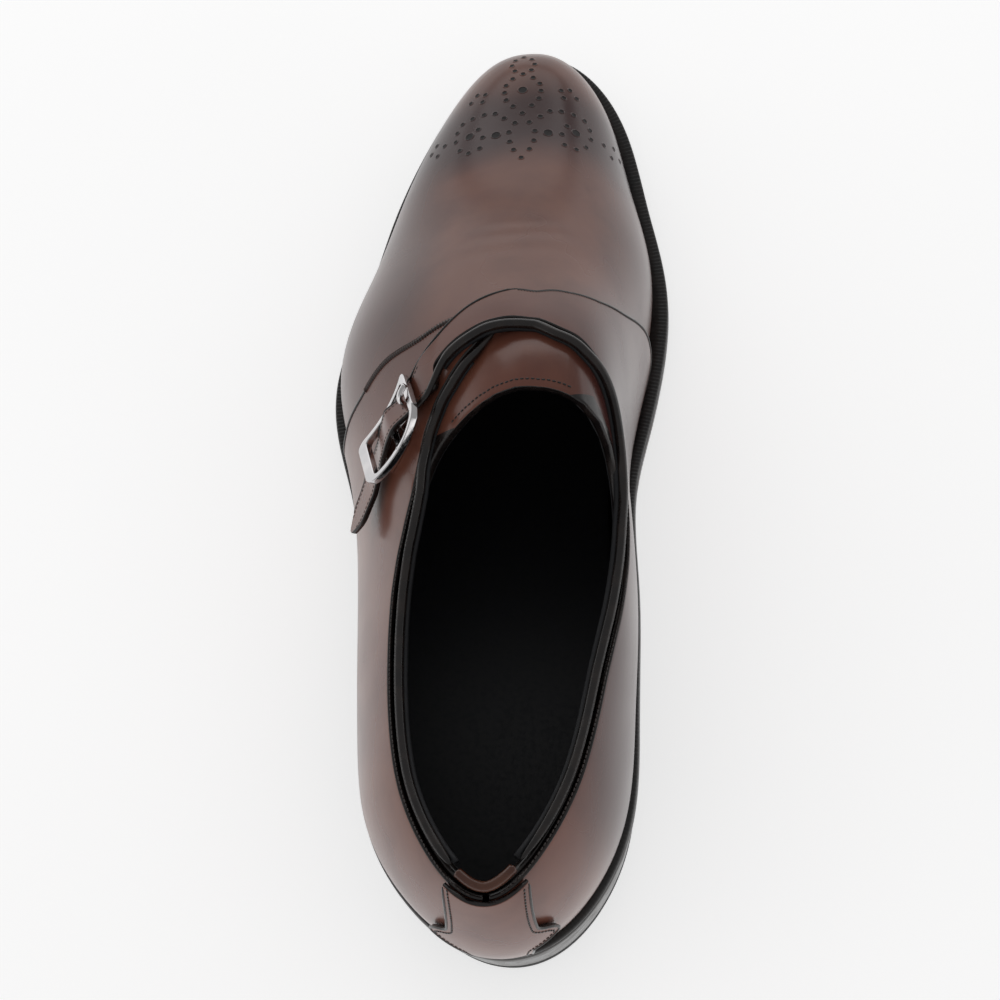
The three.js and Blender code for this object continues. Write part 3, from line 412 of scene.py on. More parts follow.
# Meshes
def put(name, points, faces, material, slot, replaces=(), ids=None):
    """A piece from points in millimetres. ids picks the material of each face."""
    mesh = bpy.data.meshes.new(name)
    mesh.from_pydata((np.asarray(points) * MM).tolist(), [], [list(map(int, f)) for f in faces])
    mesh.polygons.foreach_set("use_smooth", [True] * len(mesh.polygons))
    for one in material if isinstance(material, list) else [material]:
        mesh.materials.append(one)
    if ids is not None:
        mesh.polygons.foreach_set("material_index", ids)
    mesh.update()
    piece = bpy.data.objects.new(name, mesh)
    bpy.context.scene.collection.objects.link(piece)
    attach(piece, "root")
    if replaces:
        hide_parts(*replaces)
    return piece


def grid_faces(rows, columns, base=0, closed_rows=False, closed_columns=False):
    """Quads over a grid of points [row][column]."""
    i = np.arange(rows if closed_rows else rows - 1)
    j = np.arange(columns if closed_columns else columns - 1)
    i, j = np.meshgrid(i, j, indexing="ij")
    a, b = i % rows, (i + 1) % rows
    c, d = j % columns, (j + 1) % columns
    quads = np.stack([a * columns + c, a * columns + d, b * columns + d, b * columns + c], -1)
    return quads.reshape(-1, 4) + base


def fix_normals(piece):
    """Turns the faces outward where the mesh is inside out."""
    mesh = piece.data
    points = np.array([v.co[:] for v in mesh.vertices])
    total = 0.0
    for face in mesh.polygons:
        corners = points[list(face.vertices)]
        for k in range(1, len(corners) - 1):
            total += np.dot(corners[0], np.cross(corners[k], corners[k + 1]))
    if total < 0:
        mesh.flip_normals()
    return piece


def end_faces(count, sides):
    first = list(range(sides))
    last = [(count - 1) * sides + k for k in range(sides)]
    return [first[::-1], last]


def tube(name, loops, material, slot, closed=False, edge_from=None, **more):
    """A bar through loops of points, with flat ends where it is open. From the column edge_from on,
    its faces take the second material."""
    loops = np.asarray(loops)
    count, sides = loops.shape[:2]
    faces = grid_faces(count, sides, closed_rows=closed, closed_columns=True).tolist()
    if edge_from is not None:
        ids = np.array([int(k % sides >= edge_from) for k in range(len(faces))] + [1, 1])
        more["ids"] = ids
    if not closed:
        faces += end_faces(count, sides)
    return fix_normals(put(name, loops.reshape(-1, 3), faces, material, slot, **more))


# The collar's edge lines
def edge_of(table):
    curve = steady(table)
    return lambda turn: np.radians(curve(turn))


tongue_edge = edge_of(TONGUE_EDGE)
lateral_edge = edge_of(LATERAL_EDGE)
medial_edge = edge_of(MEDIAL_EDGE)


def heel_edge(turn):
    return np.where(turn < 0, medial_edge(turn + 1), lateral_edge(np.abs(turn)))


def wall_top(turn):
    turn = np.asarray(turn, float) % 1
    edge = np.where(turn < 0.5, lateral_edge(turn), medial_edge(turn))
    side = length_at(turn, edge) - PIPING - RIM_CLEAR
    share = smoother((turn - TONGUE_START) / TONGUE_EASE) * smoother((TONGUE_END - turn) / TONGUE_EASE)
    return side + (length_at(turn, tongue_edge(turn)) - side) * share


def spaced(low, high, count, density):
    """Places from low to high, closer together where the density is greater."""
    fine = np.linspace(low, high, 2001)
    weight = density(fine)
    total = np.concatenate([[0], np.cumsum((weight[1:] + weight[:-1]) / 2)])
    return np.interp(np.linspace(0, total[-1], count), total, fine)


# Upper and lining: numbers of points, then sizes and turns
LINING_COLUMNS = 240
LINING = 0.3
LINING_CLEAR = 0.06
LINING_FOOT = 3.4
LINING_BELOW_RIM = 0.5
LINING_ROUND = 0.12
UPPER_COLUMNS = 340
UPPER_ROWS = 150
INNER_ROWS = 40
RIM_ROUND = 0.7
BLACK_ROWS = 10
TONGUE_FROM = 0.235
TONGUE_TO = 0.76


def toe_density(turn):
    return 1 + 1.4 * smoother((turn - 0.33) / 0.05) * smoother((0.67 - turn) / 0.05)


def row_density(share):
    return 1 + 1.2 * np.exp(-((share - 0.62) / 0.12) ** 2) + 1.0 * np.exp(-(share / 0.1) ** 2)


def crease_drop(x, y):
    drop = np.zeros(np.shape(x))
    out = x - CENTRE[0]
    for line, bow, depth, width, half in CREASES:
        across = (y - line + bow * (out / 30) ** 2 + 0.5 * np.sin(out / 4.7 + line)) / width
        drop += depth * np.exp(-across ** 2) * np.exp(-(out / half) ** 4)
    return drop


def ripple(x, y, z):
    """Slow unevenness of the leather, in millimetres."""
    wave = np.sin(x / 9.1 + 1.3 * np.sin(y / 17.0)) * np.sin(y / 13.7 + 0.8)
    wave += 0.6 * np.sin(y / 6.3 + 1.1 * np.sin(x / 8.0) + z / 7.0)
    return 0.035 * wave


def leather(turn, rise, off):
    """Points over the last with the leather's own unevenness."""
    base = skin(turn, rise)
    x, y, z = base[..., 0], base[..., 1], base[..., 2]
    return base + normal_at(turn, rise) * (off + ripple(x, y, z))[..., None]


def wall_loops(turns, outer, inner, share, inner_rows, low, high, edge, surface=off_skin):
    """Closed sections of a wall, one for each turn, from low to high up the column. share holds the
    places of its outer rows, and edge rounds its rim."""
    reach = (high - low)[:, None]
    up = low[:, None] + reach * share * (1 - edge / reach)
    arc = np.radians([25, 50, 75, 90])
    top = high[:, None] - edge
    ups = [up, top + edge * np.sin(arc)]
    offs = [np.full(up.shape, outer), outer - edge + edge * np.cos(arc) + 0 * top]
    back = np.linspace(1, 0, inner_rows)
    ups.append(low[:, None] + reach * back)
    offs.append(np.full((len(turns), inner_rows), inner))
    length = np.concatenate(ups, axis=1)
    height = np.concatenate(offs, axis=1)
    turn = np.broadcast_to(turns[:, None], length.shape)
    return surface(turn, rise_at(turn, length), height)


def make_upper(calf, edge):
    """Vamp, tongue and wall. Its rim and the rows below it are black along the collar."""
    turns = spaced(0, 1, UPPER_COLUMNS + 1, toe_density)[:-1]
    top = wall_top(turns)
    share = spaced(0, 1, UPPER_ROWS, row_density)
    loops = wall_loops(turns, 0.0, -WALL, share, INNER_ROWS, 0 * top, top, RIM_ROUND, vamp_skin)
    count, sides = loops.shape[:2]
    faces = grid_faces(count, sides, closed_rows=True, closed_columns=True)
    column, row = np.divmod(np.arange(len(faces)), sides)
    collar = (turns[column] < TONGUE_FROM) | (turns[column] > TONGUE_TO)
    ids = (row >= np.where(collar, UPPER_ROWS - BLACK_ROWS, UPPER_ROWS + 1)).astype(int)
    fix_normals(put("upper_skin", loops.reshape(-1, 3), faces, [calf, edge], "calf", ["upper"], ids))


def vamp_skin(turn, rise, off):
    base = skin(turn, rise)
    x, y, z = base[..., 0], base[..., 1], base[..., 2]
    shift = off + np.where(off > -0.5, ripple(x, y, z) - crease_drop(x, y), 0)
    return base + normal_at(turn, rise) * shift[..., None]


def make_lining(material):
    turns = np.arange(LINING_COLUMNS) / LINING_COLUMNS
    top = wall_top(turns) - LINING_BELOW_RIM
    low = np.full(LINING_COLUMNS, LINING_FOOT)
    outer = -WALL - LINING_CLEAR
    share = np.linspace(0, 1, INNER_ROWS)
    loops = wall_loops(turns, outer, outer - LINING, share, INNER_ROWS, low, top, LINING_ROUND)
    faces = grid_faces(*loops.shape[:2], closed_rows=True, closed_columns=True)
    fix_normals(put("lining_wall", loops.reshape(-1, 3), faces, material, "lining"))


# Overlays between two edge lines
def stations(table):
    rows = np.array(table, float)
    curves = [steady(list(zip(range(len(rows)), rows[:, k]))) for k in range(rows.shape[1])]
    return lambda place: [curve(place) for curve in curves]


def profile(width, thick, rows, inner_rows=8, edge=EDGE_ROUND):
    """A rounded section: distances across it and heights, going round once."""
    width = np.asarray(width, float)[:, None]
    arc = np.radians([22, 45, 68, 90])
    outer = edge + (width - 2 * edge) * np.linspace(0, 1, rows)
    high = width - edge + edge * np.sin(arc)
    inner = width * np.linspace(1, 0, inner_rows)
    low = edge - edge * np.sin(arc[::-1]) + 0 * width
    across = np.concatenate([outer, high, inner, low], axis=1)
    flat = np.full(outer.shape, thick)
    bend = np.broadcast_to(thick - edge + edge * np.cos(arc), high.shape)
    under = np.zeros(inner.shape)
    height = np.concatenate([flat, bend, under, bend[:, ::-1]], axis=1)
    return across, height


def patch_loops(table, edge, places, rows, thick):
    front_turn, front_rise, back_turn, off = stations(table)(places)
    low = length_at(front_turn, np.radians(front_rise)) + FOOT
    high = length_at(back_turn, edge(back_turn)) - PIPING - RIM_CLEAR

    def place(part):
        turn = front_turn[:, None] + (back_turn - front_turn)[:, None] * part
        return turn, rise_at(turn, low[:, None] + (high - low)[:, None] * part)

    line = skin(*place(np.linspace(0, 1, 25)[None, :]))
    width = np.linalg.norm(np.diff(line, axis=1), axis=-1).sum(axis=1)
    across, height = profile(width, thick, rows)
    turn, rise = place(across / width[:, None])
    return leather(turn, rise, off[:, None] + height)


tail_at = stations(STRAP_TAIL)
TAIL_END = len(STRAP_TAIL) - 1
TIP_ROUND = 0.7


def turned(vector, axis, degrees):
    """A vector turned about an axis that it stands square to."""
    angle = np.radians(degrees)[..., None]
    return vector * np.cos(angle) + np.cross(axis, vector) * np.sin(angle)


def tail_frame(place):
    """Middle, normal, direction, side, height and half width of the strap's tail."""
    place = np.clip(np.asarray(place, float), 0, TAIL_END)
    turn, rise, off, half, twist = tail_at(place)
    rise = np.radians(rise)
    at, normal = skin(turn, rise), normal_at(turn, rise)
    ahead = tail_at(np.clip(place + 0.35, 0, TAIL_END))
    behind = tail_at(np.clip(place - 0.35, 0, TAIL_END))
    along = skin(ahead[0], np.radians(ahead[1])) - skin(behind[0], np.radians(behind[1]))
    along = unit(along - normal * np.sum(along * normal, -1, keepdims=True))
    normal = turned(normal, along, twist)
    side = np.cross(normal, along)
    return at, normal, along, side, off, half


def tail_loops(places, rows, thick):
    at, normal, along, side, off, half = tail_frame(places)
    tip = np.clip((places - TAIL_END + TIP_ROUND) / TIP_ROUND, 0, 1)
    half = half * np.sqrt(1 - 0.85 * tip ** 2)
    across, height = profile(2 * half, thick, rows)
    shift = across - half[:, None]
    lift = off[:, None] + height
    return at[:, None] + side[:, None] * shift[..., None] + normal[:, None] * lift[..., None]


def bridge(before, after, count):
    """Loops that pass smoothly from one run of loops to the next."""
    start, end = before[-1], after[0]
    gap = np.linalg.norm(end - start, axis=-1, keepdims=True)
    slopes = np.array([unit(before[-1] - before[-3]) * gap, unit(after[2] - after[0]) * gap])
    curve = hermite(np.array([0.0, 1.0]), np.array([start, end]), slopes)
    return np.array([curve(share) for share in np.linspace(0, 1, count + 2)[1:-1]])


def make_medial_quarter(calf, edge):
    rows = 44
    places = np.linspace(0, len(STRAP_STATIONS) - 1, 170)
    body = patch_loops(STRAP_STATIONS, medial_edge, places, rows, STRAP)
    tail = tail_loops(TAIL_END * (1 - np.linspace(1, 0, 110) ** 1.4), rows, STRAP)
    loops = np.concatenate([body, bridge(body, tail, 5), tail])
    tube("medial_quarter", loops, [calf, edge], "calf", edge_from=rows - 1,
         replaces=["medial_quarter_strap"])


def make_lateral_quarter(calf, edge):
    places = np.linspace(0, len(LATERAL_STATIONS) - 1, 150)
    rows = 60
    loops = patch_loops(LATERAL_STATIONS, lateral_edge, places, rows, QUARTER)
    tube("lateral_quarter_skin", loops, [calf, edge], "calf", edge_from=rows - 1,
         replaces=["lateral_quarter"])


heel_half = steady(HEEL_STRIP_SHAPE)


def strip_top():
    return length_at(np.array([0.0]), lateral_edge(np.array([0.0])))[0] - PIPING - RIM_CLEAR


STRIP_UNDER = 2 * FIT + QUARTER + GAP


def strip_points(share, part, off):
    """Points on the heel strip: share of its height, part of its half width from the middle."""
    length = STRIP_FOOT + (strip_top() - STRIP_FOOT) * share
    turn = heel_half(share) * part
    return turn, rise_at(turn, length), off


def make_heel_strip(calf, edge):
    share = np.linspace(0, 1, 110)[:, None]
    columns = 26
    flat = np.linspace(-0.975, 0.975, columns)
    part = np.concatenate([flat, [0.99, 1.0, 1.0], flat[::-4], [-1.0, -1.0, -0.99]])[None, :]
    bend = [HEEL_STRIP - 0.06, HEEL_STRIP - 0.35, 0.0]
    height = np.concatenate([np.full(columns, HEEL_STRIP), bend, 0 * flat[::-4], bend[::-1]])[None, :]
    loops = leather(*strip_points(share, part, STRIP_UNDER + height + 0 * share))
    tube("heel_strip_skin", loops, [calf, edge], "calf", edge_from=columns - 1, replaces=["heel_strip"])


# Pipings
ROLL_SIDES = 18
LINE_SIDES = 8
TAPER_SHARE = 0.03


def piping_path(table, edge, places, lower=0.0):
    turn, off = stations(table)(places)
    rise = edge(turn)
    return off_skin(turn, rise, off - lower), normal_at(turn, rise)


def sides_through(at, normal):
    """Directions across and up a line that lies on a surface."""
    along = unit(np.gradient(at, axis=0))
    side = unit(np.cross(normal, along))
    return side, np.cross(along, side)


def bar_loops(at, normal, radius, sides, size=1.0):
    """Round loops along a line. size is each loop's share of the radius."""
    side, up = sides_through(at, normal)
    angle = 2 * np.pi * np.arange(sides)[:, None] / sides
    ring = side[:, None] * np.cos(angle) + up[:, None] * np.sin(angle)
    return at[:, None] + ring * np.broadcast_to(radius * size, len(at))[:, None, None]


def tapered(at, normal, radius, sides=ROLL_SIDES):
    """A bar that narrows to a round end at both ends."""
    near = np.linspace(0, 1, len(at))
    end = np.clip(np.minimum(near, 1 - near) / TAPER_SHARE, 0, 1)
    return bar_loops(at, normal, radius, sides, np.sqrt(1 - 0.97 * (1 - end) ** 2))


def edge_line(name, at, normal, radius, sink, material):
    """A thin line laid along an edge, sunk a little into the leather."""
    tube(name, tapered(at - sink * normal, normal, radius, LINE_SIDES), material, "calf")


def joined(points, normals, count):
    """One smooth line through the points of several lines in turn, with shares of its length."""
    points = np.concatenate(points)
    normals = np.concatenate(normals)
    steps = np.linalg.norm(np.diff(points, axis=0), axis=1)
    length = np.concatenate([[0], np.cumsum(steps)])
    fine = np.linspace(0, length[-1], count)
    at = np.stack([natural(length, points[:, k])(fine) for k in range(3)], -1)
    normal = unit(np.stack([natural(length, normals[:, k])(fine) for k in range(3)], -1))
    return at, normal, fine / length[-1]


# The outer roll's last stretch: turns, heights of its middle over the wall, shares of its radius
ROLL_END_TURNS = (0.316, 0.412)
ROLL_END_OFFS = (1.7, 1.0)
ROLL_END_SIZES = (0.97, 0.47)
# The inner roll's last stretch: places on the strap's tail, how far its middle lies past the strap's
# edge and below its top, and how thin it gets
STRAP_ROLL_PLACES = np.array([0.7, 1.4, 2.0])
STRAP_ROLL_OUT = 0.6
STRAP_ROLL_DOWN = 0.3
STRAP_ROLL_THINNER = 0.5


def make_roll_end(material):
    """The outer quarter's collar roll carried on under the strap's back edge."""
    share = np.linspace(0, 1, 80)
    turn, off, size = (low + (high - low) * share
                       for low, high in (ROLL_END_TURNS, ROLL_END_OFFS, ROLL_END_SIZES))
    rise = lateral_edge(turn)
    loops = bar_loops(off_skin(turn, rise, off), normal_at(turn, rise), PIPING, ROLL_SIDES, size)
    tube("roll_end", loops, material, "piping")


def make_strap_roll(material):
    """The inner quarter's collar roll carried on along the strap's back edge as far as the buckle."""
    table_end = len(MEDIAL_PIPING) - 1
    near, near_normal = piping_path(MEDIAL_PIPING, medial_edge, np.array([table_end - 0.9, table_end - 0.3]))
    strap, strap_normal, _, side, off, half = tail_frame(STRAP_ROLL_PLACES)
    far = strap + side * (half + STRAP_ROLL_OUT)[:, None]
    far = far + strap_normal * (off + STRAP - STRAP_ROLL_DOWN)[:, None]
    at, normal, share = joined([near, far], [near_normal, strap_normal], 90)
    size = (1 - STRAP_ROLL_THINNER * share) * np.sqrt(1 - 0.95 * share ** 8)
    tube("strap_roll", bar_loops(at, normal, PIPING, ROLL_SIDES, size), material, "piping")


def make_piping(name, table, edge, count, material, slot, node):
    at, normal = piping_path(table, edge, np.linspace(0, len(table) - 1, count))
    tube(name, tapered(at, normal, PIPING), material, slot, replaces=[node])


# Stitches and other small things laid along lines
def shifted(at, normal, aside):
    return at + sides_through(at, normal)[0] * aside


def along_line(at, normal, pitch):
    steps = np.linalg.norm(np.diff(at, axis=0), axis=1)
    total = np.concatenate([[0], np.cumsum(steps)])
    places = np.arange(pitch / 2, total[-1], pitch)

    def pick(table):
        return np.stack([np.interp(places, total, table[:, k]) for k in range(3)], -1)

    return pick(at), unit(pick(normal)), unit(pick(np.gradient(at, axis=0)))


BEAD_LENGTHS = np.array([-1, -0.72, 0, 0.72, 1])
BEAD_SIZES = np.array([0.3, 0.85, 1, 0.85, 0.3])


def beads(at, along, normal, long, wide, high):
    """Points and faces of small flattened capsules whose middles are the given points."""
    lengths, sizes, sides = BEAD_LENGTHS, BEAD_SIZES, LINE_SIDES
    angle = 2 * np.pi * np.arange(sides) / sides
    side = np.cross(normal, along)
    ring = (side[:, None, None] * (wide * sizes[:, None] * np.cos(angle))[None, ..., None]
            + normal[:, None, None] * (high * sizes[:, None] * np.sin(angle))[None, ..., None]
            + along[:, None, None] * (long * lengths[:, None] + 0 * angle)[None, ..., None])
    points = (at[:, None, None] + ring).reshape(-1, 3)
    rings = len(lengths)
    one = grid_faces(rings, sides, closed_columns=True).tolist() + end_faces(rings, sides)
    faces = [[f + rings * sides * k for f in face] for k in range(len(at)) for face in one]
    return points, faces


def stitch_row(name, at, normal, stitch, material, across=False):
    """A row of stitches. stitch holds their pitch and their half length, width and height."""
    pitch, long, wide, high = stitch
    at, normal, along = along_line(at, normal, pitch)
    if across:
        along = np.cross(normal, along)
    points, faces = beads(at, along, normal, long, wide, high)
    put(name, points, faces, material, "calf")


def patch_edge(table, edge, start, end, back, thick, count=400):
    """The line along the front or the back edge of an overlay, on its top."""
    places = np.linspace(start, end, count)
    front_turn, front_rise, back_turn, off = stations(table)(places)
    if back:
        turn, length = back_turn, length_at(back_turn, edge(back_turn)) - PIPING - RIM_CLEAR
    else:
        turn, length = front_turn, length_at(front_turn, np.radians(front_rise)) + FOOT
    rise = rise_at(turn, length)
    return leather(turn, rise, off + thick), normal_at(turn, rise)


def tail_edge(start, end, sign, thick, inset, count=120):
    at, normal, _, side, off, half = tail_frame(np.linspace(start, end, count))
    return at + side * (sign * (half - inset))[:, None] + normal * (off + thick)[:, None], normal


def strip_edge(sign, count=300):
    share = np.linspace(0.02, 0.985, count)
    turn, rise, off = strip_points(share, sign * np.ones(count), STRIP_UNDER + HEEL_STRIP + 0 * share)
    return leather(turn, rise, off), normal_at(turn, rise)


# Seams: pitch, half length, half width and half height of a stitch
TIGHT_STITCH = (0.8, 0.35, 0.28, 0.2)
LOW_STITCH = (0.8, 0.4, 0.28, 0.2)
CORD_STITCH = (0.95, 0.9, 0.3, 0.62)
COLLAR_STITCH = (1.3, 0.5, 0.22, 0.17)
TONGUE_STITCH = (1.4, 0.5, 0.26, 0.2)
HEEL_STITCH = (1.35, 0.5, 0.28, 0.22)
STRAP_STITCH = (1.3, 0.45, 0.2, 0.14)
TONGUE_INSET = 2.2
HEEL_INSET = 1.6
STRAP_INSET = 1.3
COLLAR_INSET = 1.1


def make_quarter_seams(dark, cord):
    """The front seams of both quarters: a line along each edge and short stitches across it."""
    last = len(STRAP_STATIONS) - 1
    at, normal = patch_edge(STRAP_STATIONS, medial_edge, 7.2, last, False, STRAP)
    edge_line("edge_medial_front", shifted(at, normal, 0.1), normal, 0.35, 0.25, dark)
    at, normal = patch_edge(STRAP_STATIONS, medial_edge, 7.2, 12.9, False, STRAP)
    stitch_row("seam_medial_front", shifted(at, normal, 0.6), normal, TIGHT_STITCH, dark, True)
    at, normal = patch_edge(LATERAL_STATIONS, lateral_edge, 10.2, 14.0, False, QUARTER)
    at = shifted(at, normal, -0.5)
    edge_line("edge_lateral_front", at, normal, 0.85, 0.4, dark)
    stitch_row("seam_lateral_front", at, normal, CORD_STITCH, cord, True)
    at, normal = patch_edge(LATERAL_STATIONS, lateral_edge, 7.0, 10.4, False, QUARTER)
    edge_line("edge_lateral_low", shifted(at, normal, -0.1), normal, 0.4, 0.2, dark)
    stitch_row("seam_lateral_low", shifted(at, normal, -0.6), normal, LOW_STITCH, dark, True)


def make_collar_stitches(thread, dark):
    at, normal = patch_edge(STRAP_STATIONS, medial_edge, 0.4, 15.8, True, STRAP, 900)
    stitch_row("collar_stitch_medial", shifted(at, normal, COLLAR_INSET), normal, COLLAR_STITCH, thread)
    at, normal = patch_edge(LATERAL_STATIONS, lateral_edge, 0.4, 9.5, True, QUARTER, 700)
    stitch_row("collar_stitch_lateral", shifted(at, normal, -COLLAR_INSET), normal, COLLAR_STITCH, thread)
    turn = np.linspace(TONGUE_FROM, TONGUE_TO, 500)
    rise = tongue_edge(turn)
    at, normal = skin(turn, rise), normal_at(turn, rise)
    stitch_row("tongue_stitch", shifted(at, normal, TONGUE_INSET), normal, TONGUE_STITCH, dark)


def make_side_lines(name, sign, thread, dark):
    """Edge lines and stitches on one side of the heel strip and of the strap."""
    at, normal = strip_edge(sign)
    edge_line("heel_edge_" + name, at, normal, 0.42, 0.15, dark)
    stitch_row("heel_stitch_" + name, shifted(at, normal, -sign * HEEL_INSET), normal, HEEL_STITCH, dark)
    at, normal = tail_edge(0.0, TAIL_END - 0.35, sign, STRAP, STRAP_INSET)
    stitch_row("strap_stitch_" + name, at, normal, STRAP_STITCH, thread)
    at, normal = tail_edge(0.0, TAIL_END - 0.5, sign, STRAP, 0.1)
    edge_line("strap_edge_" + name, at, normal, 0.4, 0.3, dark)


def make_strap_line(dark):
    """The strap's front edge from the seam to the buckle."""
    end = len(STRAP_STATIONS) - 1.2
    near, near_normal = patch_edge(STRAP_STATIONS, medial_edge, 13.2, end, False, STRAP, 4)
    far, far_normal = tail_edge(0.5, 1.4, -1, STRAP, 0.0, 2)
    at, normal, _ = joined([near, far], [near_normal, far_normal], 160)
    edge_line("strap_front_line", at, normal, 0.5, 0.2, dark)


# Medallion
SLOPE_STEP = 0.4


def top_of_last(x, y):
    """Height of the skin over a place."""
    start = np.stack([x, y, feather(share_of(y))], -1)
    up = np.array([0.0, 0.0, 1.0])
    return start[:, 2] + narrow(start, up, np.zeros(len(x)), np.full(len(x), 90.0), 24)


def medallion_frames(x, y):
    """The middle, the two directions along the leather and the normal at places on the toe."""
    step = SLOPE_STEP
    z = top_of_last(x, y)
    slope_x = (top_of_last(x + step, y) - top_of_last(x - step, y)) / (2 * step)
    slope_y = (top_of_last(x, y + step) - top_of_last(x, y - step)) / (2 * step)
    normal = unit(np.stack([-slope_x, -slope_y, np.ones(len(x))], -1))
    at = np.stack([x, y, z], -1) + normal * ripple(x, y, z)[:, None]
    right = unit(np.cross([0, 1, 0], normal))
    return at, right, np.cross(normal, right), normal


def make_medallion(calf, dark):
    rows = []
    for holes, radius in ((BIG_HOLES, BIG_HOLE), (SMALL_HOLES, SMALL_HOLE)):
        for out, y in holes:
            rows += [(CENTRE[0] + sign * out, y, radius) for sign in ((-1, 1) if out else (1,))]
    x, y, radius = np.array(rows).T
    at, right, ahead, normal = medallion_frames(x, y)
    angle = 2 * np.pi * np.arange(HOLE_SIDES) / HOLE_SIDES
    points, faces, ids = [], [], []
    for k in range(len(x)):
        base = len(points)
        round_it = right[k] * np.cos(angle)[:, None] + ahead[k] * np.sin(angle)[:, None]
        for wider, up in HOLE_RINGS:
            points += list(at[k] + (radius[k] + wider) * round_it + normal[k] * up)
        faces += grid_faces(len(HOLE_RINGS), HOLE_SIDES, base, closed_columns=True).tolist()
        faces.append([len(points) - HOLE_SIDES + j for j in range(HOLE_SIDES)])
        ids += [0] * 3 * HOLE_SIDES + [1] * (2 * HOLE_SIDES + 1)
    put("toe_medallion", points, faces, [calf, dark], "calf", ids=ids)


LIP = 0.8
LIP_DOWN = 1.75


def make_lips(material):
    """Thin rolls below the pipings that close the gap to the wall."""
    for name, table, edge, count in (("lip_medial", MEDIAL_PIPING, medial_edge, 240),
                                     ("lip_lateral", LATERAL_PIPING, lateral_edge, 180)):
        at, normal = piping_path(table, edge, np.linspace(0, len(table) - 1, count), LIP_DOWN)
        tube(name, bar_loops(at, normal, LIP, 12), material, "lining")


# Sole
SOLE_COLUMNS = 420
WELT_INSIDE = -7
INSOLE_COLUMNS = 240
INSOLE_ROUND = 0.5


def plan(turn, out):
    """Places out from the feather line, seen from above."""
    hx, hy, _ = feather_point(turn)
    ax, ay, _ = feather_point(turn + 0.002)
    bx, by, _ = feather_point(turn - 0.002)
    length = np.hypot(ax - bx, ay - by)
    return hx - (ay - by) / length * out, hy + (ax - bx) / length * out


def sole_ring(turns, out_of, height_of):
    along = feather_point(turns)[2]
    x, y = plan(turns, out_of(along) + 0 * along)
    return np.stack([x, y, height_of(share_of(y)) + 0 * y], -1)


def cap(left, right, base, flip):
    """Faces between two rows of points that meet at one end or at both."""
    faces = []
    for k in range(len(left) - 1):
        corners = dict.fromkeys((left[k], left[k + 1], right[k + 1], right[k]))
        face = [base + corner for corner in corners]
        faces.append(face[::-1] if flip else face)
    return faces


def ring_piece(name, rings, material, slot, node, capped=True, open_back=False):
    """A piece from rings, one over the other. Its lowest and highest rings are filled when it is
    capped, and open_back says that a ring ends in two corners rather than going round."""
    rings = np.array(rings)
    levels, count = rings.shape[:2]
    faces = grid_faces(levels, count, closed_rows=not capped, closed_columns=True).tolist()
    half = count // 2
    left = list(range(half + 1))
    right = list(range(count - 1, half - 1, -1)) if open_back else [0] + list(range(count - 1, half - 1, -1))
    if capped:
        faces += cap(left, right, 0, True) + cap(left, right, (levels - 1) * count, False)
    fix_normals(put(name, rings.reshape(-1, 3), faces, material, slot, [node]))


# How far each ring stands out past the sole's outline, and how high it is over the sole's underside
OUTSOLE_RINGS = [
    (-2.2, 0.0), (-1.3, 0.0), (-0.7, 0.12), (-0.25, 0.5), (0.0, 1.3), (0.05, 2.5), (0.0, 3.8),
    (-0.15, 4.5), (-0.4, 4.9), (-0.7, OUTSOLE), (-1.5, OUTSOLE),
]


def make_outsole(edge_black):
    turns = np.arange(SOLE_COLUMNS) / SOLE_COLUMNS
    rings = [sole_ring(turns, lambda t, o=out: margin_at(t) + o, lambda t, h=up: ground(t) + h)
             for out, up in OUTSOLE_RINGS]
    ring_piece("outsole_body", rings, edge_black, "sole_edge", "outsole")


RIB_PITCH = 1.25
RIB_DEPTH = 0.28
RIB_WAVE = [0.0, 0.6, 1.0, 0.6]
# The same for the welt, with the share of the ribs' depth; None lies inside the wall
WELT_RINGS = [
    (None, 0.0, 0), (-0.6, 0.0, 0), (-0.3, 0.25, 0), (-0.1, 1.2, 0), (-0.2, 2.0, 0.2), (-0.5, 2.5, 0.6),
    (-0.9, WELT, 1), (-2.0, WELT, 1), (-3.2, WELT, 0.7), (-3.6, WELT - 0.25, 0), (None, WELT - 0.3, 0),
]


def make_welt(black):
    fine = np.linspace(0, 1, 4001)
    x, y = plan(fine, 5)
    steps = np.hypot(np.diff(x), np.diff(y))
    total = np.concatenate([[0], np.cumsum(steps)])
    ribs = int(round(total[-1] / RIB_PITCH))
    count = ribs * len(RIB_WAVE)
    turns = np.interp(np.arange(count) / count * total[-1], total, fine)
    wave = np.tile(RIB_WAVE, ribs) * RIB_DEPTH
    rings = []
    for out, up, rib in WELT_RINGS:
        reach = (lambda t: WELT_INSIDE) if out is None else (lambda t, o=out: margin_at(t) + o)
        ring = sole_ring(turns, reach, lambda t, h=up: welt_top(t) - WELT + h)
        ring[:, 2] -= wave * rib
        rings.append(ring)
    ring_piece("welt_ribbed", rings, black, "welt", "welt", capped=False)


def make_insole(sock):
    """The insole, whose lower part drops inside the welt."""
    turns = np.arange(INSOLE_COLUMNS) / INSOLE_COLUMNS
    inside, full = WELT_INSIDE - FIT, -WALL - 2 * FIT
    rows = [(inside - 1, -WELT - GAP), (inside, -WELT - GAP), (inside, 0), (full, 0),
            (full, INSOLE - INSOLE_ROUND), (full - INSOLE_ROUND, INSOLE), (full - 2, INSOLE)]
    rings = [sole_ring(turns, lambda t, o=out: o, lambda t, h=up: feather(t) + h) for out, up in rows]
    ring_piece("insole_body", rings, sock, "lining", "insole")


HEEL_TURN = 0.168
HEEL_COLUMNS = 60
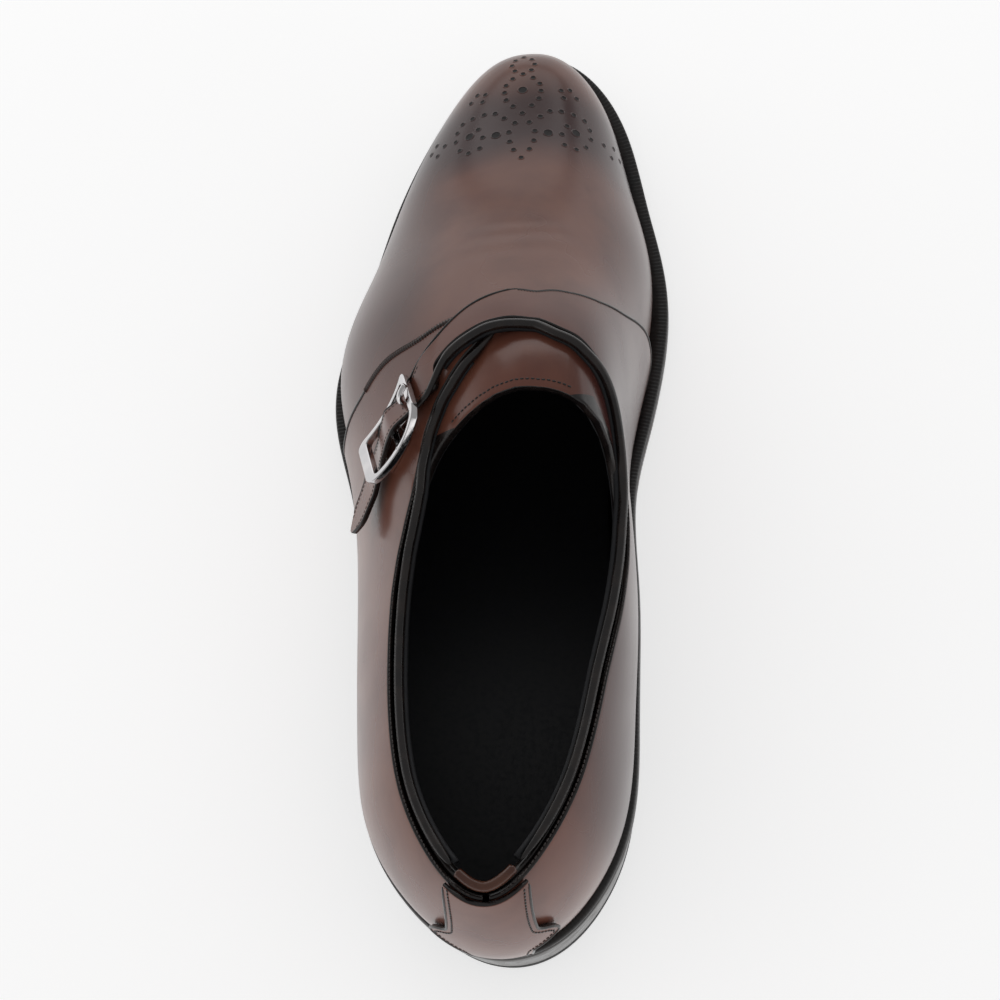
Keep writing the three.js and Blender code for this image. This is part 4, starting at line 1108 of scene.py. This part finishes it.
# How far the heel stands back from the sole's outline at its foot and at its top
STACK_LOW = 1.2
STACK_HIGH = 0.5
LIFT_RINGS = [(2.6, 0.0), (2.0, 0.05), (1.5, 0.7), (1.25, 3.0), (1.2, TOP_LIFT - 0.3), (1.6, TOP_LIFT)]


def heel_ring(inset, height_of):
    turns = HEEL_TURN * np.arange(-HEEL_COLUMNS, HEEL_COLUMNS + 1) / HEEL_COLUMNS
    along = feather_point(turns)[2]
    x, y = plan(turns, margin_at(along) - inset)
    return np.stack([x, y, height_of(share_of(y)) + 0 * y], -1)


def make_heel(edge_black, rubber):
    low = TOP_LIFT + GAP
    stack = [(STACK_LOW + 0.4, lambda t: low), (STACK_LOW, lambda t: low + 0.3)]
    for share in (0.25, 0.5, 0.75):
        inset = STACK_LOW + (STACK_HIGH - STACK_LOW) * share
        stack.append((inset, lambda t, s=share: low * (1 - s) + (ground(t) - GAP) * s))
    stack.append((STACK_HIGH, lambda t: ground(t) - GAP - 0.35))
    stack.append((STACK_HIGH + 0.4, lambda t: ground(t) - GAP - 0.05))
    stack = [heel_ring(inset, height) for inset, height in stack]
    ring_piece("heel_stack_body", stack, edge_black, "sole_edge", "heel_stack", open_back=True)
    lift = [heel_ring(inset, lambda t, h=up: h) for inset, up in LIFT_RINGS]
    ring_piece("top_lift_body", lift, rubber, "top_lift", "heel_top_lift", open_back=True)


# Buckle: heights over the wall, then the prong's line as distances along the buckle and heights
FRAME_END = 7.4
FRAME_MIDDLE = 5.2
CENTRE_BAR_OFF = 4.75
PRONG_LINE = [(-2.1, 4.6), (-4.0, 4.2), (-5.8, 4.1), (-7.2, 4.7), (-8.2, 6.2), (-9.1, 8.0),
              (-10.5, 9.0), (-12.2, 9.3), (-14.0, 9.2)]
METAL_SIDES = 16
HOLE_AT = 2.1
PRONG_HOLE_RINGS = [(1.2, 0.06), (1.6, 0.03), (1.7, -0.17)]
PRONG_HOLE_SIDES = 24


def buckle_axes():
    at, normal, along, side, _, _ = (v[0] for v in tail_frame([BUCKLE_PLACE]))
    skew, pitch = np.float64(BUCKLE_SKEW), np.float64(BUCKLE_PITCH)
    along, side = turned(along, normal, skew), turned(side, normal, skew)
    along, normal = turned(along, side, pitch), turned(normal, side, pitch)
    return at + along * BUCKLE_AHEAD + side * BUCKLE_ASIDE, normal, along, side


BUCKLE = buckle_axes()


def on_buckle(along, across, off):
    at, normal, ahead, side = BUCKLE
    return at + sum(np.multiply.outer(v, way) for v, way in ((along, ahead), (across, side), (off, normal)))


def frame_height(along):
    return FRAME_MIDDLE + (FRAME_END - FRAME_MIDDLE) * (2 * along / BUCKLE_LENGTH) ** 2


def frame_outline(length, width, corner):
    """A rectangle with round corners, whose long sides swell outward."""
    x0, y0 = length / 2 - corner, width / 2 - corner
    corners = []
    for sx, sy, start in ((1, 1, 0), (-1, 1, 90), (-1, -1, 180), (1, -1, 270)):
        angle = np.radians(start + np.linspace(0, 90, 13))
        corners.append(np.stack([sx * x0 + corner * np.cos(angle), sy * y0 + corner * np.sin(angle)], -1))
    line = []
    for k in range(4):
        line.append(corners[k])
        a, b = corners[k][-1], corners[(k + 1) % 4][0]
        line.append(a + (b - a) * np.linspace(0, 1, 22)[1:-1, None])
    line = np.concatenate(line)
    swell = BUCKLE_SWELL * (1 - (2 * line[:, 0] / length) ** 2)
    line[:, 1] += np.clip(line[:, 1] / y0, -1, 1) * swell
    return line


def frame_section():
    """Shares across and up a bar of the frame: flat on top, with small round edges."""
    rows = []
    for cx, cy, start in ((0.9, 0.36, 90), (0.9, -0.36, 0), (0.1, -0.36, -90), (0.1, 0.36, -180)):
        for angle in np.radians(start - np.linspace(0, 90, 5)):
            rows.append((cx + 0.1 * np.cos(angle), cy + 0.14 * np.sin(angle)))
    return rows


def make_frame(metal):
    outer = frame_outline(BUCKLE_LENGTH, BUCKLE_WIDTH, BUCKLE_CORNER)
    inner = frame_outline(BUCKLE_LENGTH - 2 * END_BAR, BUCKLE_WIDTH - 2 * SIDE_BAR, BUCKLE_CORNER - SIDE_BAR)
    loops = []
    for part, up in frame_section():
        along, across = (outer + (inner - outer) * part).T
        loops.append(on_buckle(along, across, frame_height(along) + up * BAR_THICK))
    loops = np.array(loops).transpose(1, 0, 2)
    tube("buckle_frame_body", loops, metal, "buckle_metal", closed=True, replaces=["buckle_frame"])


def make_centre_bar(metal):
    """The bar between the frame's long sides, which it rises to at both ends."""
    share = np.linspace(-1, 1, 41)
    rise = CENTRE_BAR_OFF + (FRAME_MIDDLE - CENTRE_BAR_OFF) * smoother((np.abs(share) - 0.78) / 0.2)
    at = on_buckle(0 * share, share * ((BUCKLE_WIDTH - SIDE_BAR) / 2 + BUCKLE_SWELL), rise)
    rod = bar_loops(at, np.broadcast_to(BUCKLE[1], at.shape), CENTRE_BAR, METAL_SIDES)
    tube("buckle_centre_bar", rod, metal, "buckle_metal")


def make_prong(metal):
    along, off = (natural(range(len(PRONG_LINE)), row) for row in np.array(PRONG_LINE).T)
    place = np.linspace(0, len(PRONG_LINE) - 1, 60)
    at = on_buckle(along(place), 0 * place, off(place))
    normal = unit(np.cross(np.gradient(at, axis=0), BUCKLE[3]))
    prong = bar_loops(at, normal, PRONG, METAL_SIDES)
    tube("buckle_prong_body", prong, metal, "buckle_metal", replaces=["buckle_prong"])


def make_prong_hole(dark):
    """The dark round hole in the strap that the prong comes through."""
    at, normal, along, side, off, _ = (v[0] for v in tail_frame([HOLE_AT]))
    middle = at + normal * (off + STRAP)
    angle = 2 * np.pi * np.arange(PRONG_HOLE_SIDES)[:, None] / PRONG_HOLE_SIDES
    points = [middle + normal * 0.05]
    for reach, lift in PRONG_HOLE_RINGS:
        points += list(middle + reach * (along * np.cos(angle) + side * np.sin(angle)) + normal * lift)
    faces = [[0, 1 + k, 1 + (k + 1) % PRONG_HOLE_SIDES] for k in range(PRONG_HOLE_SIDES)]
    faces += grid_faces(len(PRONG_HOLE_RINGS), PRONG_HOLE_SIDES, 1, closed_columns=True).tolist()
    put("prong_hole", points, faces, dark, "calf")


# Materials
class Nodes:
    def __init__(self, name):
        self.material = bpy.data.materials.new(name)
        self.material.use_nodes = True
        self.tree = self.material.node_tree
        self.shader = next(n for n in self.tree.nodes if n.type == "BSDF_PRINCIPLED")
        self.where = self.tree.nodes.new("ShaderNodeTexCoord").outputs["Object"]

    def node(self, kind, inputs=None, **settings):
        node = self.tree.nodes.new("ShaderNode" + kind)
        for key, value in settings.items():
            setattr(node, key, value)
        for key, value in (inputs or {}).items():
            self.join(value, node.inputs[key])
        return node

    def join(self, value, socket):
        if isinstance(value, bpy.types.NodeSocket):
            self.tree.links.new(value, socket)
        else:
            socket.default_value = value

    def noise(self, scale, detail=3, rough=0.5, distort=0.0):
        return self.node("TexNoise", {"Vector": self.where, "Scale": scale, "Detail": detail,
                                      "Roughness": rough, "Distortion": distort}).outputs[0]

    def ramp(self, value, low, high, start=0.0, end=1.0):
        return self.node("MapRange", {"Value": value, "From Min": low, "From Max": high,
                                      "To Min": start, "To Max": end},
                         interpolation_type="SMOOTHSTEP").outputs[0]

    def mix(self, share, a, b):
        node = self.node("Mix", data_type="RGBA")
        self.join(share, node.inputs[0])
        self.join(a, node.inputs[6])
        self.join(b, node.inputs[7])
        return node.outputs[2]

    def maths(self, what, a, b=0.0):
        node = self.node("Math", operation=what)
        self.join(a, node.inputs[0])
        self.join(b, node.inputs[1])
        return node.outputs[0]

    def bump(self, height, strength, distance):
        node = self.node("Bump", {"Height": height, "Strength": strength, "Distance": distance * MM})
        self.join(node.outputs[0], self.shader.inputs["Normal"])

    def put(self, **values):
        for key, value in values.items():
            self.join(value, self.shader.inputs[key.replace("_", " ")])
        return self.material


def calf_leather(name, dark, mid, warm):
    n = Nodes(name)
    cloud = n.noise(22, 4, 0.55, distort=0.6)
    patch = n.noise(60, 3, 0.5)
    colour = n.mix(n.ramp(cloud, 0.35, 0.7), mid, warm)
    colour = n.mix(n.maths("MULTIPLY", n.ramp(patch, 0.4, 0.8), 0.3), colour, dark)
    split = n.node("SeparateXYZ", {"Vector": n.where})
    wobble = n.maths("MULTIPLY", n.maths("SUBTRACT", n.noise(35, 2), 0.5), 0.014)
    forward = n.maths("ADD", split.outputs[1], wobble)
    band = n.maths("MULTIPLY", n.ramp(forward, 0.193, 0.211), n.ramp(forward, 0.24, 0.221, 0.1, 1.0))
    colour = n.mix(n.maths("MULTIPLY", band, 0.9), colour, dark)
    # Painted shade: the medial side of the rear half is darkened to stand in for the dark reflection of a
    # neighbouring shoe
    inner = n.maths("MULTIPLY", n.ramp(split.outputs[0], 0.016, 0.034), n.ramp(forward, 0.15, 0.11))
    inner = n.maths("MULTIPLY", inner, n.ramp(forward, -0.03, 0.0))
    colour = n.mix(n.maths("MULTIPLY", inner, 0.8), colour, dark)
    # Painted shade: both sides of the forefoot are darkened to stand in for dark reflections on the vamp's
    # flanks
    out = n.maths("ABSOLUTE", n.maths("SUBTRACT", split.outputs[0], CENTRE[0] * MM))
    painted_flank_shade = n.maths("MULTIPLY", n.ramp(out, 0.018, 0.034), n.ramp(forward, 0.1, 0.14))
    colour = n.mix(n.maths("MULTIPLY", painted_flank_shade, 0.6), colour, dark)
    grain = n.node("TexVoronoi", {"Vector": n.where, "Scale": 1500.0}).outputs["Distance"]
    fine = n.noise(900, 3, 0.6)
    height = n.maths("ADD", n.maths("MULTIPLY", grain, 0.5), fine)
    n.bump(height, 0.05, 0.2)
    gloss = n.ramp(n.noise(30, 3), 0.3, 0.8, 0.23, 0.3)
    return n.put(Base_Color=colour, Roughness=gloss, Coat_Weight=0.08, Coat_Roughness=0.12,
                 Specular_IOR_Level=0.4)


def plain_leather(name, colour, other, rough, scale, strength):
    """One colour clouded with another. scale is that of the clouds, strength that of the grain."""
    n = Nodes(name)
    speck = n.ramp(n.noise(scale, 3, 0.6), 0.35, 0.75)
    n.bump(n.noise(scale * 6, 3, 0.6), strength, 0.3)
    tint = n.mix(speck, (*colour, 1), (*other, 1))
    return n.put(Base_Color=tint, Roughness=n.ramp(speck, 0, 1, rough, rough + 0.12))


def polished_metal(name):
    n = Nodes(name)
    scratch = n.noise(700, 4, 0.7)
    n.bump(scratch, 0.02, 0.05)
    shade = n.mix(n.ramp(n.noise(120, 3), 0.3, 0.7), (0.58, 0.57, 0.58, 1), (0.68, 0.66, 0.66, 1))
    return n.put(Base_Color=shade, Metallic=1.0, Roughness=n.ramp(scratch, 0.3, 0.8, 0.07, 0.16))


# The whole shoe
# The dark tone serves the real burnished toe band and also the painted shade on the sides of the shoe
CALF_DARK = (0.03, 0.007, 0.009, 1)
CALF_MID = (0.15, 0.05, 0.034, 1)
CALF_WARM = (0.2, 0.074, 0.046, 1)


def make_shoe():
    # The calf material holds a real burnished band across the toe and painted shade on the shoe's sides
    calf = calf_leather("calf_patina_and_painted_shade", CALF_DARK, CALF_MID, CALF_WARM)
    piped = plain_leather("piping_black", (0.008, 0.006, 0.006), (0.02, 0.013, 0.011), 0.22, 180, 0.08)
    welted = plain_leather("welt_black", (0.008, 0.007, 0.007), (0.022, 0.018, 0.017), 0.38, 260, 0.15)
    edged = plain_leather("edge_black", (0.012, 0.009, 0.008), (0.03, 0.02, 0.016), 0.25, 120, 0.1)
    rubber = plain_leather("rubber_black", (0.012, 0.012, 0.012), (0.03, 0.03, 0.03), 0.6, 300, 0.3)
    lined = plain_leather("lining_black", (0.006, 0.006, 0.008), (0.009, 0.01, 0.013), 0.6, 700, 0.15)
    brown = plain_leather("lining_brown", (0.07, 0.022, 0.012), (0.1, 0.035, 0.018), 0.2, 150, 0.08)
    metal = polished_metal("buckle_polished")
    cord = plain_leather("cord_brown", (0.045, 0.022, 0.017), (0.08, 0.042, 0.034), 0.5, 900, 0.2)
    thread = plain_leather("thread_dark", (0.012, 0.007, 0.006), (0.035, 0.02, 0.016), 0.5, 900, 0.2)
    dark = plain_leather("hole_dark", (0.006, 0.004, 0.004), (0.012, 0.008, 0.008), 0.6, 900, 0.2)
    make_upper(calf, piped)
    make_lining(lined)
    make_medial_quarter(calf, piped)
    make_lateral_quarter(calf, piped)
    make_heel_strip(calf, piped)
    make_quarter_seams(piped, cord)
    make_collar_stitches(thread, piped)
    make_side_lines("left", -1, thread, piped)
    make_side_lines("right", 1, thread, piped)
    make_strap_line(piped)
    make_medallion(calf, dark)
    make_lips(lined)
    make_piping("medial_piping_roll", MEDIAL_PIPING, medial_edge, 260, piped, "piping", "medial_piping")
    make_piping("lateral_piping_roll", LATERAL_PIPING, lateral_edge, 190, piped, "piping", "lateral_piping")
    make_piping("heel_roll_body", HEEL_ROLL, heel_edge, 40, brown, "brown_lining", "heel_roll")
    make_outsole(edged)
    make_welt(welted)
    make_insole(lined)
    make_heel(edged, rubber)
    make_strap_roll(piped)
    make_roll_end(piped)
    make_frame(metal)
    make_centre_bar(metal)
    make_prong(metal)
    make_prong_hole(dark)
    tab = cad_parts["buckle_tab"].data.materials
    tab.clear()
    tab.append(calf)


# Floor, light and camera
FLOOR_HALF = 4.0
FLOOR_DOWN = 0.0003
FLOOR_GLOW = 0.58


def floor_plane():
    n = Nodes("floor_pale")
    tint = n.mix(n.ramp(n.noise(3, 2), 0.3, 0.7), (0.86, 0.86, 0.86, 1), (0.9, 0.9, 0.9, 1))
    material = n.put(Base_Color=tint, Roughness=0.7, Emission_Color=(1, 1, 1, 1),
                     Emission_Strength=FLOOR_GLOW)
    mesh = bpy.data.meshes.new("floor")
    corners = [(x * FLOOR_HALF, y * FLOOR_HALF, 0) for x, y in ((-1, -1), (1, -1), (1, 1), (-1, 1))]
    mesh.from_pydata(corners, [], [(0, 1, 2, 3)])
    mesh.materials.append(material)
    floor = bpy.data.objects.new("floor", mesh)
    floor.location.z = -FLOOR_DOWN
    bpy.context.scene.collection.objects.link(floor)


LIGHT_AT = (-0.1, 1.5, 0.56)
LIGHT_TARGET = (0.0, 0.2, 0.04)
LIGHT_WIDTH = 1.7
LIGHT_HEIGHT = 0.36
LIGHT_POWER = 2.4


def front_light():
    """A soft lamp in front of the toe."""
    data = bpy.data.lights.new("front_soft", "AREA")
    data.shape = "RECTANGLE"
    data.size, data.size_y = LIGHT_WIDTH, LIGHT_HEIGHT
    data.energy = LIGHT_POWER
    light = bpy.data.objects.new("front_soft", data)
    back = unit(np.array(LIGHT_AT) - np.array(LIGHT_TARGET))
    right = unit(np.cross([0, 0, 1], back))
    turn = Matrix(np.stack([right, np.cross(back, right), back], 1).tolist()).to_4x4()
    turn.translation = LIGHT_AT
    light.matrix_world = turn
    bpy.context.scene.collection.objects.link(light)


# Brightness at the horizon and overhead, and the heights between which it fades
WORLD_BRIGHT = 1.3
WORLD_DIM = 0.38
WORLD_FADE = (0.02, 0.2)


def world_light():
    """Even soft light from above, with a brighter band at the horizon."""
    world = bpy.data.worlds.new("studio")
    world.use_nodes = True
    tree = world.node_tree
    where = tree.nodes.new("ShaderNodeTexCoord").outputs["Generated"]
    split = tree.nodes.new("ShaderNodeSeparateXYZ")
    tree.links.new(where, split.inputs[0])
    fade = tree.nodes.new("ShaderNodeMapRange")
    fade.interpolation_type = "SMOOTHSTEP"
    tree.links.new(split.outputs[2], fade.inputs["Value"])
    numbers = (*WORLD_FADE, WORLD_BRIGHT, WORLD_DIM)
    for key, number in zip(("From Min", "From Max", "To Min", "To Max"), numbers):
        fade.inputs[key].default_value = number
    back = tree.nodes["Background"]
    back.inputs[0].default_value = (1, 1, 1, 1)
    tree.links.new(fade.outputs[0], back.inputs[1])
    bpy.context.scene.world = world


# Camera: place in metres, angles in degrees, lens in millimetres
CAMERA_AT = (0.0421, -0.0935, 0.5217)
CAMERA_TILT = 21.25
CAMERA_YAW = 1.99
CAMERA_ROLL = 0.08
CAMERA_ASIDE = 5.35
LENS = 64.6
SENSOR = 36


def make_camera():
    data = bpy.data.cameras.new("camera")
    data.lens, data.sensor_width = LENS, SENSOR
    data.clip_start = 0.01
    camera = bpy.data.objects.new("camera", data)
    turn = Matrix.Identity(4)
    for degrees, axis in ((-CAMERA_YAW, "Z"), (CAMERA_TILT, "X"), (CAMERA_ASIDE, "Y"), (CAMERA_ROLL, "Z")):
        turn = turn @ Matrix.Rotation(math.radians(degrees), 4, axis)
    turn.translation = CAMERA_AT
    camera.matrix_world = turn
    bpy.context.scene.collection.objects.link(camera)
    bpy.context.scene.camera = camera


make_shoe()
floor_plane()
world_light()
front_light()
make_camera()
bpy.context.scene.view_settings.view_transform = "Standard"
